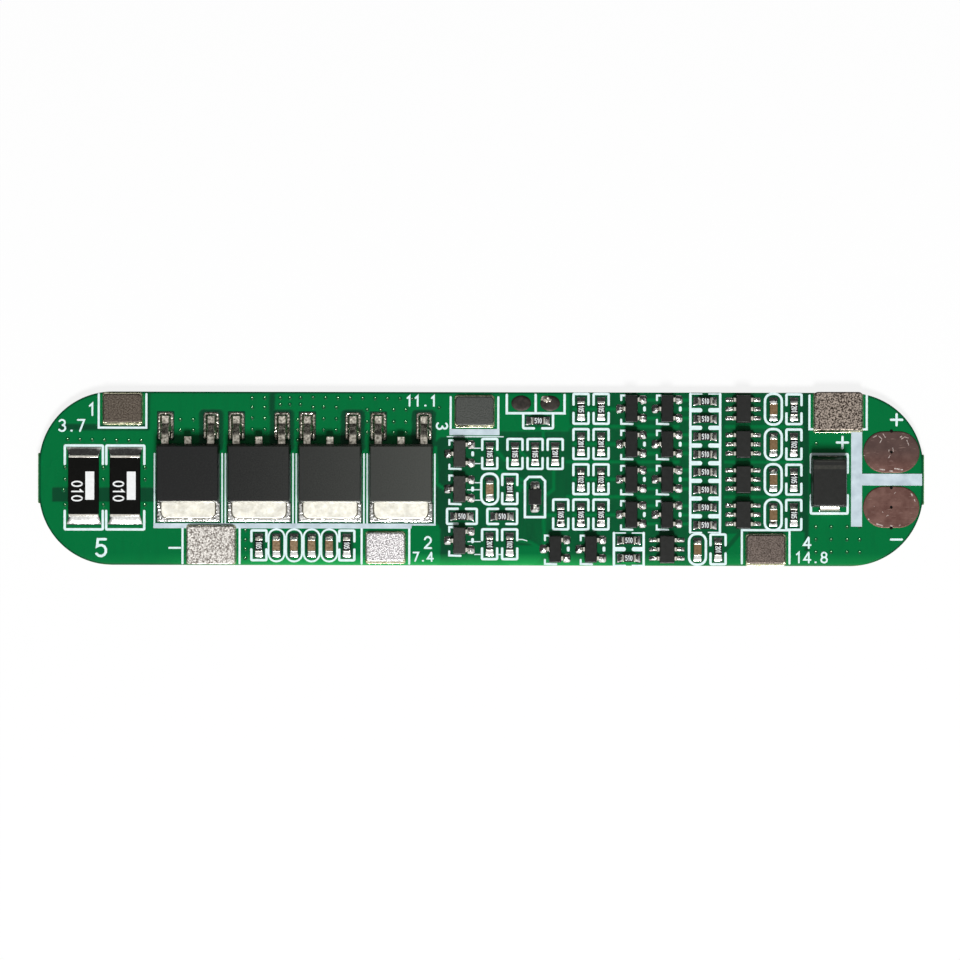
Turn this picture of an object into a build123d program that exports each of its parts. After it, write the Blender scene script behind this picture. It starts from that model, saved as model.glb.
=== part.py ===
from build123d import *
import os

os.makedirs("parts", exist_ok=True)

# A five cell battery management board, drawn lying on a table with its components up.
# Sizes are in millimetres. The origin is the middle of the board's underside, +X runs towards
# the output pads, +Y towards the edge with the odd numbered cell tabs, +Z out of the component side.
# Along the board a place is a station, counted from its left end. Across the board it is a drop,
# counted from its upper edge. The board is as long and as wide as its rows of components need.

# Board
board_thickness = 1.2
corner_radius = 7.6
break_stub_width = 5.2
break_stub_depth = 0.12
upper_margin = 0.03
lower_margin = 0.05

# White print
print_thickness = 0.03
print_line = 0.26
print_thin_line = 0.2
print_bar = 0.52
print_gap = 0.1

# Chip resistors and capacitors
chip_length = 1.6
chip_width = 0.8
chip_cap_length = 0.3
resistor_height = 0.45
capacitor_height = 0.8
chip_solder_reach = 0.39
chip_solder_height = 0.3
chip_end_clearance = 0.22
chip_side_clearance = 0.25
chip_print_opening = 0.6
narrow_oval_clearance = 0.2
narrow_oval_corner = 0.5
wide_oval_clearance = 0.34
wide_oval_extra = 0.1
wide_oval_corner = 0.58
ladder_bar = 0.47
ladder_clearance = 0.28
ladder_print_opening = 0.6
ladder_first_drop = 0.9
ladder_edge_line = 0.12

# Small transistors with three leads
transistor_width = 1.3
transistor_length = 2.8
transistor_top = 1.0
transistor_parting = 0.55
transistor_span = 2.4
transistor_lead_width = 0.42
transistor_lead_pitch = 1.9
transistor_bracket_reach = 1.18
transistor_bracket_short = 0.62
transistor_bracket_long = 1.44
transistor_bracket_arm = 0.7
transistor_bracket_upper = 0.09
transistor_bracket_lower = 0.29
transistor_dash_shift = 1.36
transistor_dash_width = 0.33
transistor_dash_length = 0.52

# Cell monitors with six leads
monitor_width = 1.6
monitor_length = 2.9
monitor_top = 1.1
monitor_span = 2.8
monitor_lead_width = 0.4
monitor_lead_pitch = 0.95

# Small gull wing leads and moulded bodies
lead_thickness = 0.12
lead_shoulder = 0.12
lead_foot = 0.26
lead_solder_reach = 0.32
lead_solder_height = 0.1
body_standoff = 0.08
mould_draft = 8

# Power transistors with a soldered tab
power_width = 6.6
power_length = 6.1
power_height = 2.3
power_lead_height = 1.0
power_lead_width = 0.78
power_lead_thickness = 0.5
power_lead_spacing = 4.72
power_lead_reach = 2.85
power_lead_foot = 1.5
power_lead_shoulder = 0.6
power_lead_root = 0.8
power_bend_radius = 0.4
power_stub_reach = 0.85
power_tab_width = 5.6
power_tab_reach = 1.6
power_tab_thickness = 0.5
power_tab_chamfer = 0.5
power_tab_inner_length = 4.4
power_solder_width = 1.6
power_solder_reach = 0.42
power_solder_height = 0.1
power_tab_solder_side = 0.45
power_tab_solder_reach = 0.36
power_side_clearance = 0.1
power_cell_gap = 0.14
power_count = 4

# Current shunts
shunt_width = 3.15
shunt_length = 6.35
shunt_height = 0.62
shunt_terminal_length = 0.27
shunt_solder_reach = 0.8
shunt_solder_height = 0.5
shunt_side_clearance = 0.26
shunt_end_clearance = 0.24
shunt_print_opening = 4.6
shunt_shift = 0.17
shunt_count = 2

# Clamp diode
clamp_width = 3.5
clamp_length = 4.5
clamp_top = 2.3
clamp_parting = 1.15
clamp_lead_width = 2.0
clamp_lead_thickness = 0.22
clamp_lead_reach = 0.45
clamp_lead_under = 0.9
clamp_bend_radius = 0.2
clamp_solder_reach = 0.15
clamp_side_clearance = 0.02
clamp_end_clearance = 0.09
clamp_print_opening = 2.1
clamp_shift = 0.4
clamp_print_shift = 0.05

# Small diode
diode_width = 1.3
diode_length = 1.7
diode_top = 1.0
diode_parting = 0.5
diode_span = 2.6
diode_lead_width = 0.35
diode_side_clearance = 0.27
diode_end_clearance = 0.65
diode_print_corner = 0.45

# Weld tabs
cell_tab_length = 4.0
cell_tab_width = 3.0
battery_tab_length = 5.0
battery_tab_width = 4.0
weld_tab_thickness = 0.5
weld_tab_corner = 0.35
weld_tab_solder_reach = 0.22
weld_tab_solder_height = 0.25
weld_tab_solder_inset = 0.3
weld_tab_side_clearance = 0.33
weld_tab_inner_clearance = 0.38
cell_tab_1_edge_gap = 0.23
cell_tab_2_edge_gap = 0.39
cell_tab_3_edge_gap = 0.43
cell_tab_4_edge_gap = 0.24
negative_tab_edge_gap = 0.07
positive_tab_overhang = 0.1
tab_3_bar = 0.65
tab_3_line = 0.15

# Bare copper pads
output_pad_length = 5.84
output_pad_width = 4.28
output_pad_thickness = 0.1
output_pad_hole = 0.3
output_pad_gap = 0.1
output_pad_end_margin = 0.38
switch_pad_length = 2.04
switch_pad_width = 1.6
switch_pad_thickness = 0.1
switch_pad_edge_gap = 0.34
switch_pad_clearance = 0.345
divider_width = 1.14
divider_gap = 0.23
divider_foot = 0.12
divider_bar = 1.22
divider_end_margin = 0.12

# Gaps between neighbouring columns and rows
end_strip = 2.55
shunt_to_power = 0.83
power_to_middle = 0.93
transistor_to_chips = 0.7
chip_gap = 0.26
wide_chip_gap = 0.79
switch_to_grid = 0.67
middle_to_grid = 0.84
chips_to_transistor = 0.7
transistor_gap = 0.66
transistor_to_ladder = 0.76
ladder_to_monitor = 0.44
monitor_to_capacitor = 0.3
oval_gap = 0.22
grid_to_right = 0.73
row_gap = 0.305
lower_row_gap = 0.04
negative_tab_inset = 3.47
via_strip = 0.95
tab_gap = 0.5
tab_1_shift = 0.2
lower_chip_gap = 0.38
power_to_lower = 0.43
power_print_gap = 0.18
power_print_start = 0.95
power_bar_short = 2.5
middle_to_tab_3 = 1.4
tab_3_to_switch = 0.62
laid_row_gap = 0.25
laid_shift = 0.26
laid_to_lower = 0.3
laid_to_transistor = 0.2
middle_lower_margin = 0.45
diode_drop_gap = 0.58
shunt_floor_gap = 3.53
lower_transistor_gap = 2.27
lower_pair_gap = 0.6
lower_monitor_gap = 0.45
lower_oval_gap = 0.35
lower_tab_gap = 1.43

# Room that each kind of component takes on the board
chip_frame_width = chip_width + 2 * (chip_side_clearance + print_line)
chip_frame_length = chip_length + 2 * (chip_solder_reach + chip_end_clearance + print_line)
narrow_oval_width = chip_width + 2 * (narrow_oval_clearance + print_thin_line)
wide_oval_width = chip_width + 2 * (wide_oval_clearance + print_line)
wide_oval_length = chip_frame_length + wide_oval_extra
transistor_room = transistor_span + 2 * lead_solder_reach
monitor_room = monitor_span + 2 * (lead_solder_reach + print_gap)
ladder_pitch = chip_width + 2 * ladder_clearance + ladder_bar
shunt_room = shunt_width + 2 * (shunt_side_clearance + print_line)
shunt_frame_length = shunt_length + 2 * (shunt_solder_reach + shunt_end_clearance + print_line)
power_room = power_width + 2 * (power_side_clearance + print_thin_line)
clamp_room = clamp_width + 2 * (clamp_side_clearance + print_line)
clamp_end_room = clamp_lead_reach + clamp_solder_reach + clamp_end_clearance + print_line
clamp_frame_length = clamp_length + 2 * clamp_end_room
diode_frame_width = diode_width + 2 * (diode_side_clearance + print_line)
diode_frame_length = diode_span + 2 * (diode_end_clearance + print_line)
cell_tab_room = cell_tab_length + 2 * (weld_tab_side_clearance + print_line)
negative_tab_room = battery_tab_length + 2 * (weld_tab_side_clearance + print_line)
switch_room = switch_pad_length + 2 * switch_pad_clearance + print_line
row_length = max(chip_frame_length, transistor_length, monitor_length)

# Stations of the left block: two shunts, then the row of power transistors
shunt_stations = [end_strip + shunt_room / 2 + n * (shunt_room + print_gap) for n in range(shunt_count)]
power_left = shunt_stations[-1] + shunt_room / 2 + shunt_to_power
power_pitch = power_room + power_cell_gap
power_stations = [power_left + power_room / 2 + n * power_pitch for n in range(power_count)]
power_right = power_stations[-1] + power_room / 2

# Stations of the row under the power transistors
negative_tab_station = power_left + negative_tab_inset + battery_tab_length / 2
lower_resistor_1 = negative_tab_station + negative_tab_room / 2 + via_strip + chip_frame_width / 2
narrow_pitch = narrow_oval_width + oval_gap
first_oval = lower_resistor_1 + chip_frame_width / 2 + oval_gap / 2 + narrow_oval_width / 2
lower_ovals = [first_oval + n * narrow_pitch for n in range(4)]
lower_resistor_2 = lower_ovals[-1] + narrow_oval_width / 2 + oval_gap / 2 + chip_frame_width / 2
tab_2_station = lower_resistor_2 + chip_frame_width / 2 + tab_gap + cell_tab_room / 2
middle_left = max(power_right, tab_2_station + cell_tab_room / 2)

# Stations of the middle block
middle_transistors = middle_left + power_to_middle + transistor_room / 2
middle_1 = middle_transistors + transistor_room / 2 + transistor_to_chips + chip_frame_width / 2
middle_2 = middle_1 + chip_frame_width + chip_gap
middle_3 = middle_1 + chip_frame_width + wide_chip_gap
middle_4 = middle_3 + chip_frame_width + chip_gap
middle_5 = middle_4 + chip_frame_width + chip_gap
tab_3_station = middle_left + middle_to_tab_3 + cell_tab_room / 2
switch_left = tab_3_station + cell_tab_room / 2 + tab_3_to_switch
switch_bars = [switch_left + print_line / 2 + n * switch_room for n in range(3)]
switch_stations = [bar + switch_room / 2 for bar in switch_bars[:2]]
switch_right = switch_bars[-1] + print_line / 2

# Stations of the four row grid
grid_left = max(switch_right + switch_to_grid, middle_5 + chip_frame_width / 2 + middle_to_grid)
grid_1 = grid_left + chip_frame_width / 2
grid_0 = grid_1 - chip_frame_width - chip_gap
grid_2 = grid_1 + chip_frame_width + chip_gap
transistors_1 = grid_2 + chip_frame_width / 2 + chips_to_transistor + transistor_room / 2
transistors_2 = transistors_1 + transistor_room + transistor_gap
ladder_station = transistors_2 + transistor_room / 2 + transistor_to_ladder + chip_frame_length / 2
monitors = ladder_station + chip_frame_length / 2 + ladder_to_monitor + monitor_room / 2
grid_ovals = monitors + monitor_room / 2 + monitor_to_capacitor + wide_oval_width / 2
grid_3 = grid_ovals + wide_oval_width / 2 + oval_gap + chip_frame_width / 2

# Stations of the lower row
lower_transistor_1 = middle_2 + chip_frame_width / 2 + lower_transistor_gap + transistor_room / 2
lower_transistor_2 = lower_transistor_1 + transistor_room + transistor_gap
pair_from_left = lower_transistor_2 + transistor_room / 2 + lower_pair_gap + chip_frame_length / 2
pair_from_right = transistors_2 - monitor_room / 2 - lower_monitor_gap - chip_frame_length / 2
pair_station = max(pair_from_left, pair_from_right)
lower_monitor = pair_station + chip_frame_length / 2 + lower_monitor_gap + monitor_room / 2
lower_oval = lower_monitor + monitor_room / 2 + lower_oval_gap + wide_oval_width / 2
lower_resistor_3 = lower_oval + wide_oval_width / 2 + oval_gap + chip_frame_width / 2
tab_4_station = lower_resistor_3 + chip_frame_width / 2 + lower_tab_gap + cell_tab_room / 2

# Stations of the right end
right_left = grid_3 + chip_frame_width / 2 + grid_to_right
right_room = max(clamp_room + divider_gap + divider_width, battery_tab_length + weld_tab_side_clearance)
divider_station = right_left + right_room - divider_width / 2
clamp_station = right_left + clamp_room / 2
divider_right = divider_station + divider_width / 2
positive_tab_station = divider_right - battery_tab_length / 2
output_station = divider_right + output_pad_gap + output_pad_length / 2
board_length = output_station + output_pad_length / 2 + output_pad_end_margin

# Drops of the grid and of the middle block, which settle the board's width
row_pitch = row_length + row_gap
grid_drops = [upper_margin + row_length / 2 + n * row_pitch for n in range(4)]
ladder_drops = [ladder_first_drop + n * ladder_pitch for n in range(8)]
ladder_bottom = ladder_drops[-1] + chip_width / 2 + ladder_clearance + ladder_edge_line
grid_bottom = max(grid_drops[-1] + row_length / 2, ladder_bottom)
lower_drop = grid_bottom + lower_row_gap + row_length / 2
tab_3_drop = cell_tab_3_edge_gap + cell_tab_width / 2
tab_3_bar_drop = tab_3_drop + cell_tab_width / 2 + weld_tab_inner_clearance
tab_3_line_drop = tab_3_bar_drop + tab_3_bar + print_gap / 2
middle_top = tab_3_line_drop + tab_3_line + print_gap / 2
middle_drops = [middle_top + row_length / 2 + n * row_pitch for n in range(2)]
laid_drop = middle_drops[1] + row_length / 2 + laid_row_gap + chip_frame_width / 2
laid_bottom = laid_drop + chip_frame_width / 2
middle_lower_drop = laid_bottom + laid_to_lower + row_length / 2
grid_depth = lower_drop + row_length / 2 + lower_margin
middle_depth = middle_lower_drop + row_length / 2 + middle_lower_margin
board_width = max(grid_depth, middle_depth)

# Drops that are counted from what lies beside them
lower_transistor_drop = laid_bottom + laid_to_transistor + transistor_length / 2
diode_drop = middle_drops[0] + row_length / 2 + diode_drop_gap + diode_frame_length / 2
switch_drop = switch_pad_edge_gap + switch_pad_width / 2
switch_bar_drop = switch_drop + switch_pad_width / 2 + print_gap + print_line / 2
laid_upper_drop = switch_bar_drop - print_line / 2 + chip_frame_width / 2
tab_1_drop = cell_tab_1_edge_gap + cell_tab_width / 2
positive_tab_drop = battery_tab_width / 2 - positive_tab_overhang
tab_2_drop = board_width - cell_tab_2_edge_gap - cell_tab_width / 2
tab_4_drop = board_width - cell_tab_4_edge_gap - cell_tab_width / 2
negative_tab_drop = board_width - negative_tab_edge_gap - battery_tab_width / 2
left_lower_drop = board_width - lower_chip_gap - row_length / 2
strip_tops = [
    negative_tab_drop - battery_tab_width / 2,
    tab_2_drop - cell_tab_width / 2,
    left_lower_drop - chip_frame_length / 2,
]
power_front_drop = min(strip_tops) - power_to_lower - power_tab_solder_reach
power_rear_drop = power_front_drop - power_tab_reach - power_length
power_bar_drop = power_front_drop + power_tab_solder_reach + power_print_gap + print_bar / 2
shunt_frame_drop = board_width - shunt_floor_gap - shunt_frame_length / 2
shunt_drop = shunt_frame_drop - shunt_shift
tab_1_station = shunt_stations[-1] + (shunt_room - cell_tab_room) / 2 + tab_1_shift
pair_drops = [lower_drop - ladder_pitch / 2, lower_drop + ladder_pitch / 2]
clamp_drop = board_width / 2 + clamp_shift
output_shift = divider_bar / 2 + output_pad_gap + output_pad_width / 2


def at(station, drop):
    """Point of the board's plan for a station and a drop."""
    return (station - board_length / 2, board_width / 2 - drop)


def side_view(point, outward):
    """Upright plane on a point of the board: its X runs outward from the package, its Y runs up."""
    across = Vector(*outward).cross(Vector(0, 0, 1))
    return Plane(origin=(point[0], point[1], board_thickness), x_dir=outward, z_dir=across)


def side_views(point, distance, outward, shifts=(0,)):
    """Side views at a distance from a point, one for each shift to the side."""
    x, y = point[0] + outward[0] * distance, point[1] + outward[1] * distance
    across_x, across_y = abs(outward[1]), abs(outward[0])
    return [side_view((x + across_x * shift, y + across_y * shift), outward) for shift in shifts]


def moved(point, x, y):
    """A point of the plan, shifted by x and y."""
    return (point[0] + x, point[1] + y)


left, right, front, rear = (-1, 0, 0), (1, 0, 0), (0, -1, 0), (0, 1, 0)

# Places of the repeated components
grid_columns = [grid_1, grid_2, grid_3]
upright_resistors = [at(column, drop) for column in grid_columns for drop in grid_drops]
upright_resistors += [at(column, middle_drops[0]) for column in (middle_1, middle_3, middle_4, middle_5)]
upright_resistors += [at(middle_2, middle_drops[1]), at(grid_0, grid_drops[3])]
upright_resistors += [at(middle_1, middle_lower_drop), at(middle_2, middle_lower_drop)]
upright_resistors += [at(lower_resistor_1, left_lower_drop), at(lower_resistor_2, left_lower_drop)]
upright_resistors += [at(lower_resistor_3, lower_drop)]
laid_resistors = [
    at(middle_transistors + laid_shift, laid_drop),
    at((middle_1 + middle_2) / 2 + laid_shift, laid_drop),
    at(switch_bars[1] + laid_shift, laid_upper_drop),
]
ladder_resistors = [at(ladder_station, drop) for drop in ladder_drops]
pair_resistors = [at(pair_station, drop) for drop in pair_drops]
flat_resistors = laid_resistors + ladder_resistors + pair_resistors
narrow_capacitors = [at(station, left_lower_drop) for station in lower_ovals]
wide_capacitors = [at(grid_ovals, drop) for drop in grid_drops]
wide_capacitors += [at(middle_1, middle_drops[1]), at(lower_oval, lower_drop)]
capacitors = narrow_capacitors + wide_capacitors
transistors = [at(middle_transistors, drop) for drop in (*middle_drops, lower_transistor_drop)]
transistors += [at(lower_transistor_1, lower_drop), at(lower_transistor_2, lower_drop)]
transistors += [at(column, drop) for column in (transistors_1, transistors_2) for drop in grid_drops]
cell_monitors = [at(monitors, drop) for drop in grid_drops] + [at(lower_monitor, lower_drop)]
shunts = [at(station, shunt_drop) for station in shunt_stations]
power_fronts = [at(station, power_front_drop) for station in power_stations]
power_rears = [at(station, power_rear_drop) for station in power_stations]
clamp_point = at(clamp_station, clamp_drop)
clamp_print_point = moved(clamp_point, 0, -clamp_print_shift)
diode_point = at(middle_4, diode_drop)
cell_tabs = [
    at(tab_1_station, tab_1_drop),
    at(tab_2_station, tab_2_drop),
    at(tab_3_station, tab_3_drop),
    at(tab_4_station, tab_4_drop),
]
negative_tab = at(negative_tab_station, negative_tab_drop)
positive_tab = at(positive_tab_station, positive_tab_drop)
output_pads = {
    "output_pad_positive": at(output_station, board_width / 2 - output_shift),
    "output_pad_negative": at(output_station, board_width / 2 + output_shift),
}
switch_pads = {
    "switch_pad_left": at(switch_stations[0], switch_drop),
    "switch_pad_right": at(switch_stations[1], switch_drop),
}

# Circuit board: round cornered ends, each with the stub of the tab it was broken off at
end_radius = min(corner_radius, (board_width - break_stub_width) / 2)
with BuildPart() as circuit_board:
    with BuildSketch() as outline:
        Rectangle(board_length, board_width)
        fillet(outline.vertices(), radius=end_radius)
        Rectangle(board_length + 2 * break_stub_depth, break_stub_width)
    extrude(amount=board_thickness)
circuit_board.part.label = "circuit_board"
export_step(circuit_board.part, "parts/circuit_board.step")


# Bare copper pads
for name, point in output_pads.items():
    with BuildPart() as output_pad:
        with BuildSketch(Plane.XY.offset(board_thickness)):
            with Locations(point):
                SlotOverall(output_pad_length, output_pad_width)
                Circle(output_pad_hole / 2, mode=Mode.SUBTRACT)
        extrude(amount=output_pad_thickness)
    output_pad.part.label = name
    export_step(output_pad.part, f"parts/{name}.step")

for name, point in switch_pads.items():
    with BuildPart() as switch_pad:
        with BuildSketch(Plane.XY.offset(board_thickness)):
            with Locations(point):
                Ellipse(switch_pad_length / 2, switch_pad_width / 2)
        extrude(amount=switch_pad_thickness)
    switch_pad.part.label = name
    export_step(switch_pad.part, f"parts/{name}.step")


# Weld tabs: stamped strips with rounded corners, soldered flat on the board
weld_tabs = {}
for number, point in enumerate(cell_tabs, 1):
    weld_tabs[f"cell_tab_{number}"] = (point, cell_tab_length, cell_tab_width)
weld_tabs["battery_negative_tab"] = (negative_tab, battery_tab_length, battery_tab_width)
weld_tabs["battery_positive_tab"] = (positive_tab, battery_tab_length, battery_tab_width)
for name, (point, length, width) in weld_tabs.items():
    with BuildPart() as weld_tab:
        with BuildSketch(Plane.XY.offset(board_thickness)):
            with Locations(point):
                RectangleRounded(length, width, weld_tab_corner)
        extrude(amount=weld_tab_thickness)
    weld_tab.part.label = name
    export_step(weld_tab.part, f"parts/{name}.step")


def moulded_body(point, width, length, underside, parting, top, band):
    """Moulded package: a straight band at the parting line, drafted above and below it."""
    origin = Plane.XY.offset(board_thickness)
    with BuildPart() as body:
        with BuildSketch(origin.offset(parting - band / 2)):
            with Locations(point):
                Rectangle(width, length)
        extrude(amount=band)
        upper_rim = body.faces().sort_by(Axis.Z)[-1]
        lower_rim = body.faces().sort_by(Axis.Z)[0]
        extrude(upper_rim, amount=top - parting - band / 2, taper=mould_draft)
        if parting - band / 2 > underside:
            extrude(lower_rim, amount=parting - band / 2 - underside, taper=mould_draft)
    return body


def gull_leads(planes, width, reach, height):
    """Gull wing leads: a shoulder at the body, a slope, and a foot on the board."""
    with BuildPart() as leads:
        with BuildSketch(*planes):
            with BuildLine():
                Polyline(
                    (0, height),
                    (lead_shoulder, height),
                    (reach - lead_foot, lead_thickness / 2),
                    (reach, lead_thickness / 2),
                )
            trace(line_width=lead_thickness)
        extrude(amount=width / 2, both=True)
    return leads


# Small transistors: one lead on the left side, two on the right
transistor_shifts = (-transistor_lead_pitch / 2, transistor_lead_pitch / 2)
transistor_planes, transistor_tips = [], []
for number, point in enumerate(transistors, 1):
    transistor_body = moulded_body(
        point,
        transistor_width,
        transistor_length,
        body_standoff,
        transistor_parting,
        transistor_top,
        lead_thickness,
    )
    transistor_body.part.label = f"signal_transistor_{number}"
    export_step(transistor_body.part, f"parts/signal_transistor_{number}.step")
    for outward, shifts in ((left, (0,)), (right, transistor_shifts)):
        transistor_planes += side_views(point, transistor_width / 2, outward, shifts)
        transistor_tips += side_views(point, transistor_span / 2, outward, shifts)

transistor_reach = (transistor_span - transistor_width) / 2
transistor_leads = gull_leads(
    transistor_planes, transistor_lead_width, transistor_reach, transistor_parting
)
transistor_leads.part.label = "signal_transistor_leads"
export_step(transistor_leads.part, "parts/signal_transistor_leads.step")


# Cell monitors: three leads on each side
monitor_shifts = (-monitor_lead_pitch, 0, monitor_lead_pitch)
monitor_planes, monitor_tips = [], []
for number, point in enumerate(cell_monitors, 1):
    monitor_body = moulded_body(
        point,
        monitor_width,
        monitor_length,
        body_standoff,
        transistor_parting,
        monitor_top,
        lead_thickness,
    )
    monitor_body.part.label = f"cell_monitor_{number}"
    export_step(monitor_body.part, f"parts/cell_monitor_{number}.step")
    for outward in (left, right):
        monitor_planes += side_views(point, monitor_width / 2, outward, monitor_shifts)
        monitor_tips += side_views(point, monitor_span / 2, outward, monitor_shifts)

monitor_reach = (monitor_span - monitor_width) / 2
monitor_leads = gull_leads(monitor_planes, monitor_lead_width, monitor_reach, transistor_parting)
monitor_leads.part.label = "cell_monitor_leads"
export_step(monitor_leads.part, "parts/cell_monitor_leads.step")


# Small diode
diode_planes = side_views(diode_point, diode_length / 2, front)
diode_planes += side_views(diode_point, diode_length / 2, rear)
diode_body = moulded_body(
    diode_point,
    diode_width,
    diode_length,
    body_standoff,
    diode_parting,
    diode_top,
    lead_thickness,
)
diode_body.part.label = "small_diode_body"
export_step(diode_body.part, "parts/small_diode_body.step")

diode_reach = (diode_span - diode_length) / 2
diode_leads = gull_leads(diode_planes, diode_lead_width, diode_reach, diode_parting)
diode_leads.part.label = "small_diode_leads"
export_step(diode_leads.part, "parts/small_diode_leads.step")


# Clamp diode: its leads are folded down its ends and under it, and the body stands on them
clamp_body = moulded_body(
    clamp_point,
    clamp_width,
    clamp_length,
    clamp_lead_thickness,
    clamp_parting,
    clamp_top,
    clamp_lead_thickness,
)
clamp_body.part.label = "clamp_diode_body"
export_step(clamp_body.part, "parts/clamp_diode_body.step")

clamp_planes = side_views(clamp_point, clamp_length / 2, front)
clamp_planes += side_views(clamp_point, clamp_length / 2, rear)
clamp_drop_line = clamp_lead_reach - clamp_lead_thickness / 2
with BuildPart() as clamp_leads:
    with BuildSketch(*clamp_planes):
        with BuildLine():
            FilletPolyline(
                (0, clamp_parting),
                (clamp_drop_line, clamp_parting),
                (clamp_drop_line, clamp_lead_thickness / 2),
                (-clamp_lead_under, clamp_lead_thickness / 2),
                radius=clamp_bend_radius,
            )
        trace(line_width=clamp_lead_thickness)
    extrude(amount=clamp_lead_width / 2, both=True)
clamp_leads.part.label = "clamp_diode_leads"
export_step(clamp_leads.part, "parts/clamp_diode_leads.step")


# Power transistors: a lead frame with a heat tab, a cut centre stub and two formed leads,
# and a moulded body that closes round it
plate_length = power_tab_reach + power_tab_inner_length
stub_bend = power_length - power_tab_inner_length
power_shifts = (-power_lead_spacing / 2, power_lead_spacing / 2)
power_frames = []
for number, (front_point, rear_point) in enumerate(zip(power_fronts, power_rears), 1):
    with BuildPart() as power_frame:
        with BuildSketch(Plane.XY.offset(board_thickness)) as plate:
            with Locations(moved(front_point, 0, plate_length / 2)):
                Rectangle(power_tab_width, plate_length)
            chamfer(plate.vertices().group_by(Axis.Y)[0], length=power_tab_chamfer)
        extrude(amount=power_tab_thickness)
        with BuildSketch(side_view(rear_point, rear)):
            with BuildLine():
                Polyline(
                    (power_stub_reach, power_lead_height),
                    (power_lead_height - stub_bend, power_lead_height),
                    (-stub_bend, power_tab_thickness / 2),
                    (-stub_bend - power_tab_thickness, power_tab_thickness / 2),
                )
            trace(line_width=power_lead_thickness)
        extrude(amount=power_lead_width / 2, both=True)
        with BuildSketch(*side_views(rear_point, 0, rear, power_shifts)):
            with BuildLine():
                FilletPolyline(
                    (-power_lead_root, power_lead_height),
                    (power_lead_shoulder, power_lead_height),
                    (power_lead_reach - power_lead_foot, power_lead_thickness / 2),
                    (power_lead_reach, power_lead_thickness / 2),
                    radius=power_bend_radius,
                )
            trace(line_width=power_lead_thickness)
        extrude(amount=power_lead_width / 2, both=True)
    power_frame.part.label = f"power_transistor_{number}_frame"
    export_step(power_frame.part, f"parts/power_transistor_{number}_frame.step")
    power_frames.append(power_frame.part)

    moulding = moulded_body(
        moved(rear_point, 0, -power_length / 2),
        power_width,
        power_length,
        0,
        power_lead_height,
        power_height,
        power_lead_thickness,
    )
    with BuildPart() as power_body:
        add(moulding.part)
        add(power_frame.part, mode=Mode.SUBTRACT)
    power_body.part.label = f"power_transistor_{number}_body"
    export_step(power_body.part, f"parts/power_transistor_{number}_body.step")


# Current shunts: a resistive block between two solderable ends
shunt_end_shift = (shunt_length - shunt_terminal_length) / 2
for number, point in enumerate(shunts, 1):
    with BuildPart() as shunt_body:
        with BuildSketch(Plane.XY.offset(board_thickness)):
            with Locations(point):
                Rectangle(shunt_width, shunt_length - 2 * shunt_terminal_length)
        extrude(amount=shunt_height)
    shunt_body.part.label = f"current_shunt_{number}_body"
    export_step(shunt_body.part, f"parts/current_shunt_{number}_body.step")

    with BuildPart() as shunt_ends:
        with BuildSketch(Plane.XY.offset(board_thickness)):
            with Locations(moved(point, 0, -shunt_end_shift), moved(point, 0, shunt_end_shift)):
                Rectangle(shunt_width, shunt_terminal_length)
        extrude(amount=shunt_height)
    shunt_ends.part.label = f"current_shunt_{number}_ends"
    export_step(shunt_ends.part, f"parts/current_shunt_{number}_ends.step")


# Chip resistors and capacitors: a block between two metal caps
chip_core_length = chip_length - 2 * chip_cap_length
chip_cap_shift = (chip_length - chip_cap_length) / 2
chip_shifts = (-chip_cap_shift, chip_cap_shift)
with BuildPart() as resistor_cores:
    with BuildSketch(Plane.XY.offset(board_thickness)):
        with Locations(*upright_resistors):
            Rectangle(chip_width, chip_core_length)
        with Locations(*flat_resistors):
            Rectangle(chip_core_length, chip_width)
    extrude(amount=resistor_height)
resistor_cores.part.label = "chip_resistors"
export_step(resistor_cores.part, "parts/chip_resistors.step")

with BuildPart() as resistor_caps:
    with BuildSketch(Plane.XY.offset(board_thickness)):
        with Locations(*[moved(point, 0, shift) for point in upright_resistors for shift in chip_shifts]):
            Rectangle(chip_width, chip_cap_length)
        with Locations(*[moved(point, shift, 0) for point in flat_resistors for shift in chip_shifts]):
            Rectangle(chip_cap_length, chip_width)
    extrude(amount=resistor_height)
resistor_caps.part.label = "chip_resistor_caps"
export_step(resistor_caps.part, "parts/chip_resistor_caps.step")

with BuildPart() as capacitor_cores:
    with BuildSketch(Plane.XY.offset(board_thickness)):
        with Locations(*capacitors):
            Rectangle(chip_width, chip_core_length)
    extrude(amount=capacitor_height)
capacitor_cores.part.label = "chip_capacitors"
export_step(capacitor_cores.part, "parts/chip_capacitors.step")

with BuildPart() as capacitor_caps:
    with BuildSketch(Plane.XY.offset(board_thickness)):
        with Locations(*[moved(point, 0, shift) for point in capacitors for shift in chip_shifts]):
            Rectangle(chip_width, chip_cap_length)
    extrude(amount=capacitor_height)
capacitor_caps.part.label = "chip_capacitor_caps"
export_step(capacitor_caps.part, "parts/chip_capacitor_caps.step")


# Solder: a wedge at the end of each terminal
def solder_wedges(planes, width, reach, height):
    """Solder wedges against upright end faces, one on each plane."""
    with BuildPart() as wedges:
        with BuildSketch(*planes):
            with BuildLine():
                Polyline((0, 0), (reach, 0), (0, height), close=True)
            make_face()
        extrude(amount=width / 2, both=True)
    return wedges


chip_ends = []
for point in upright_resistors + capacitors:
    chip_ends += side_views(point, chip_length / 2, front) + side_views(point, chip_length / 2, rear)
for point in flat_resistors:
    chip_ends += side_views(point, chip_length / 2, left) + side_views(point, chip_length / 2, right)
chip_solder = solder_wedges(chip_ends, chip_width, chip_solder_reach, chip_solder_height)
chip_solder.part.label = "chip_solder"
export_step(chip_solder.part, "parts/chip_solder.step")

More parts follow.
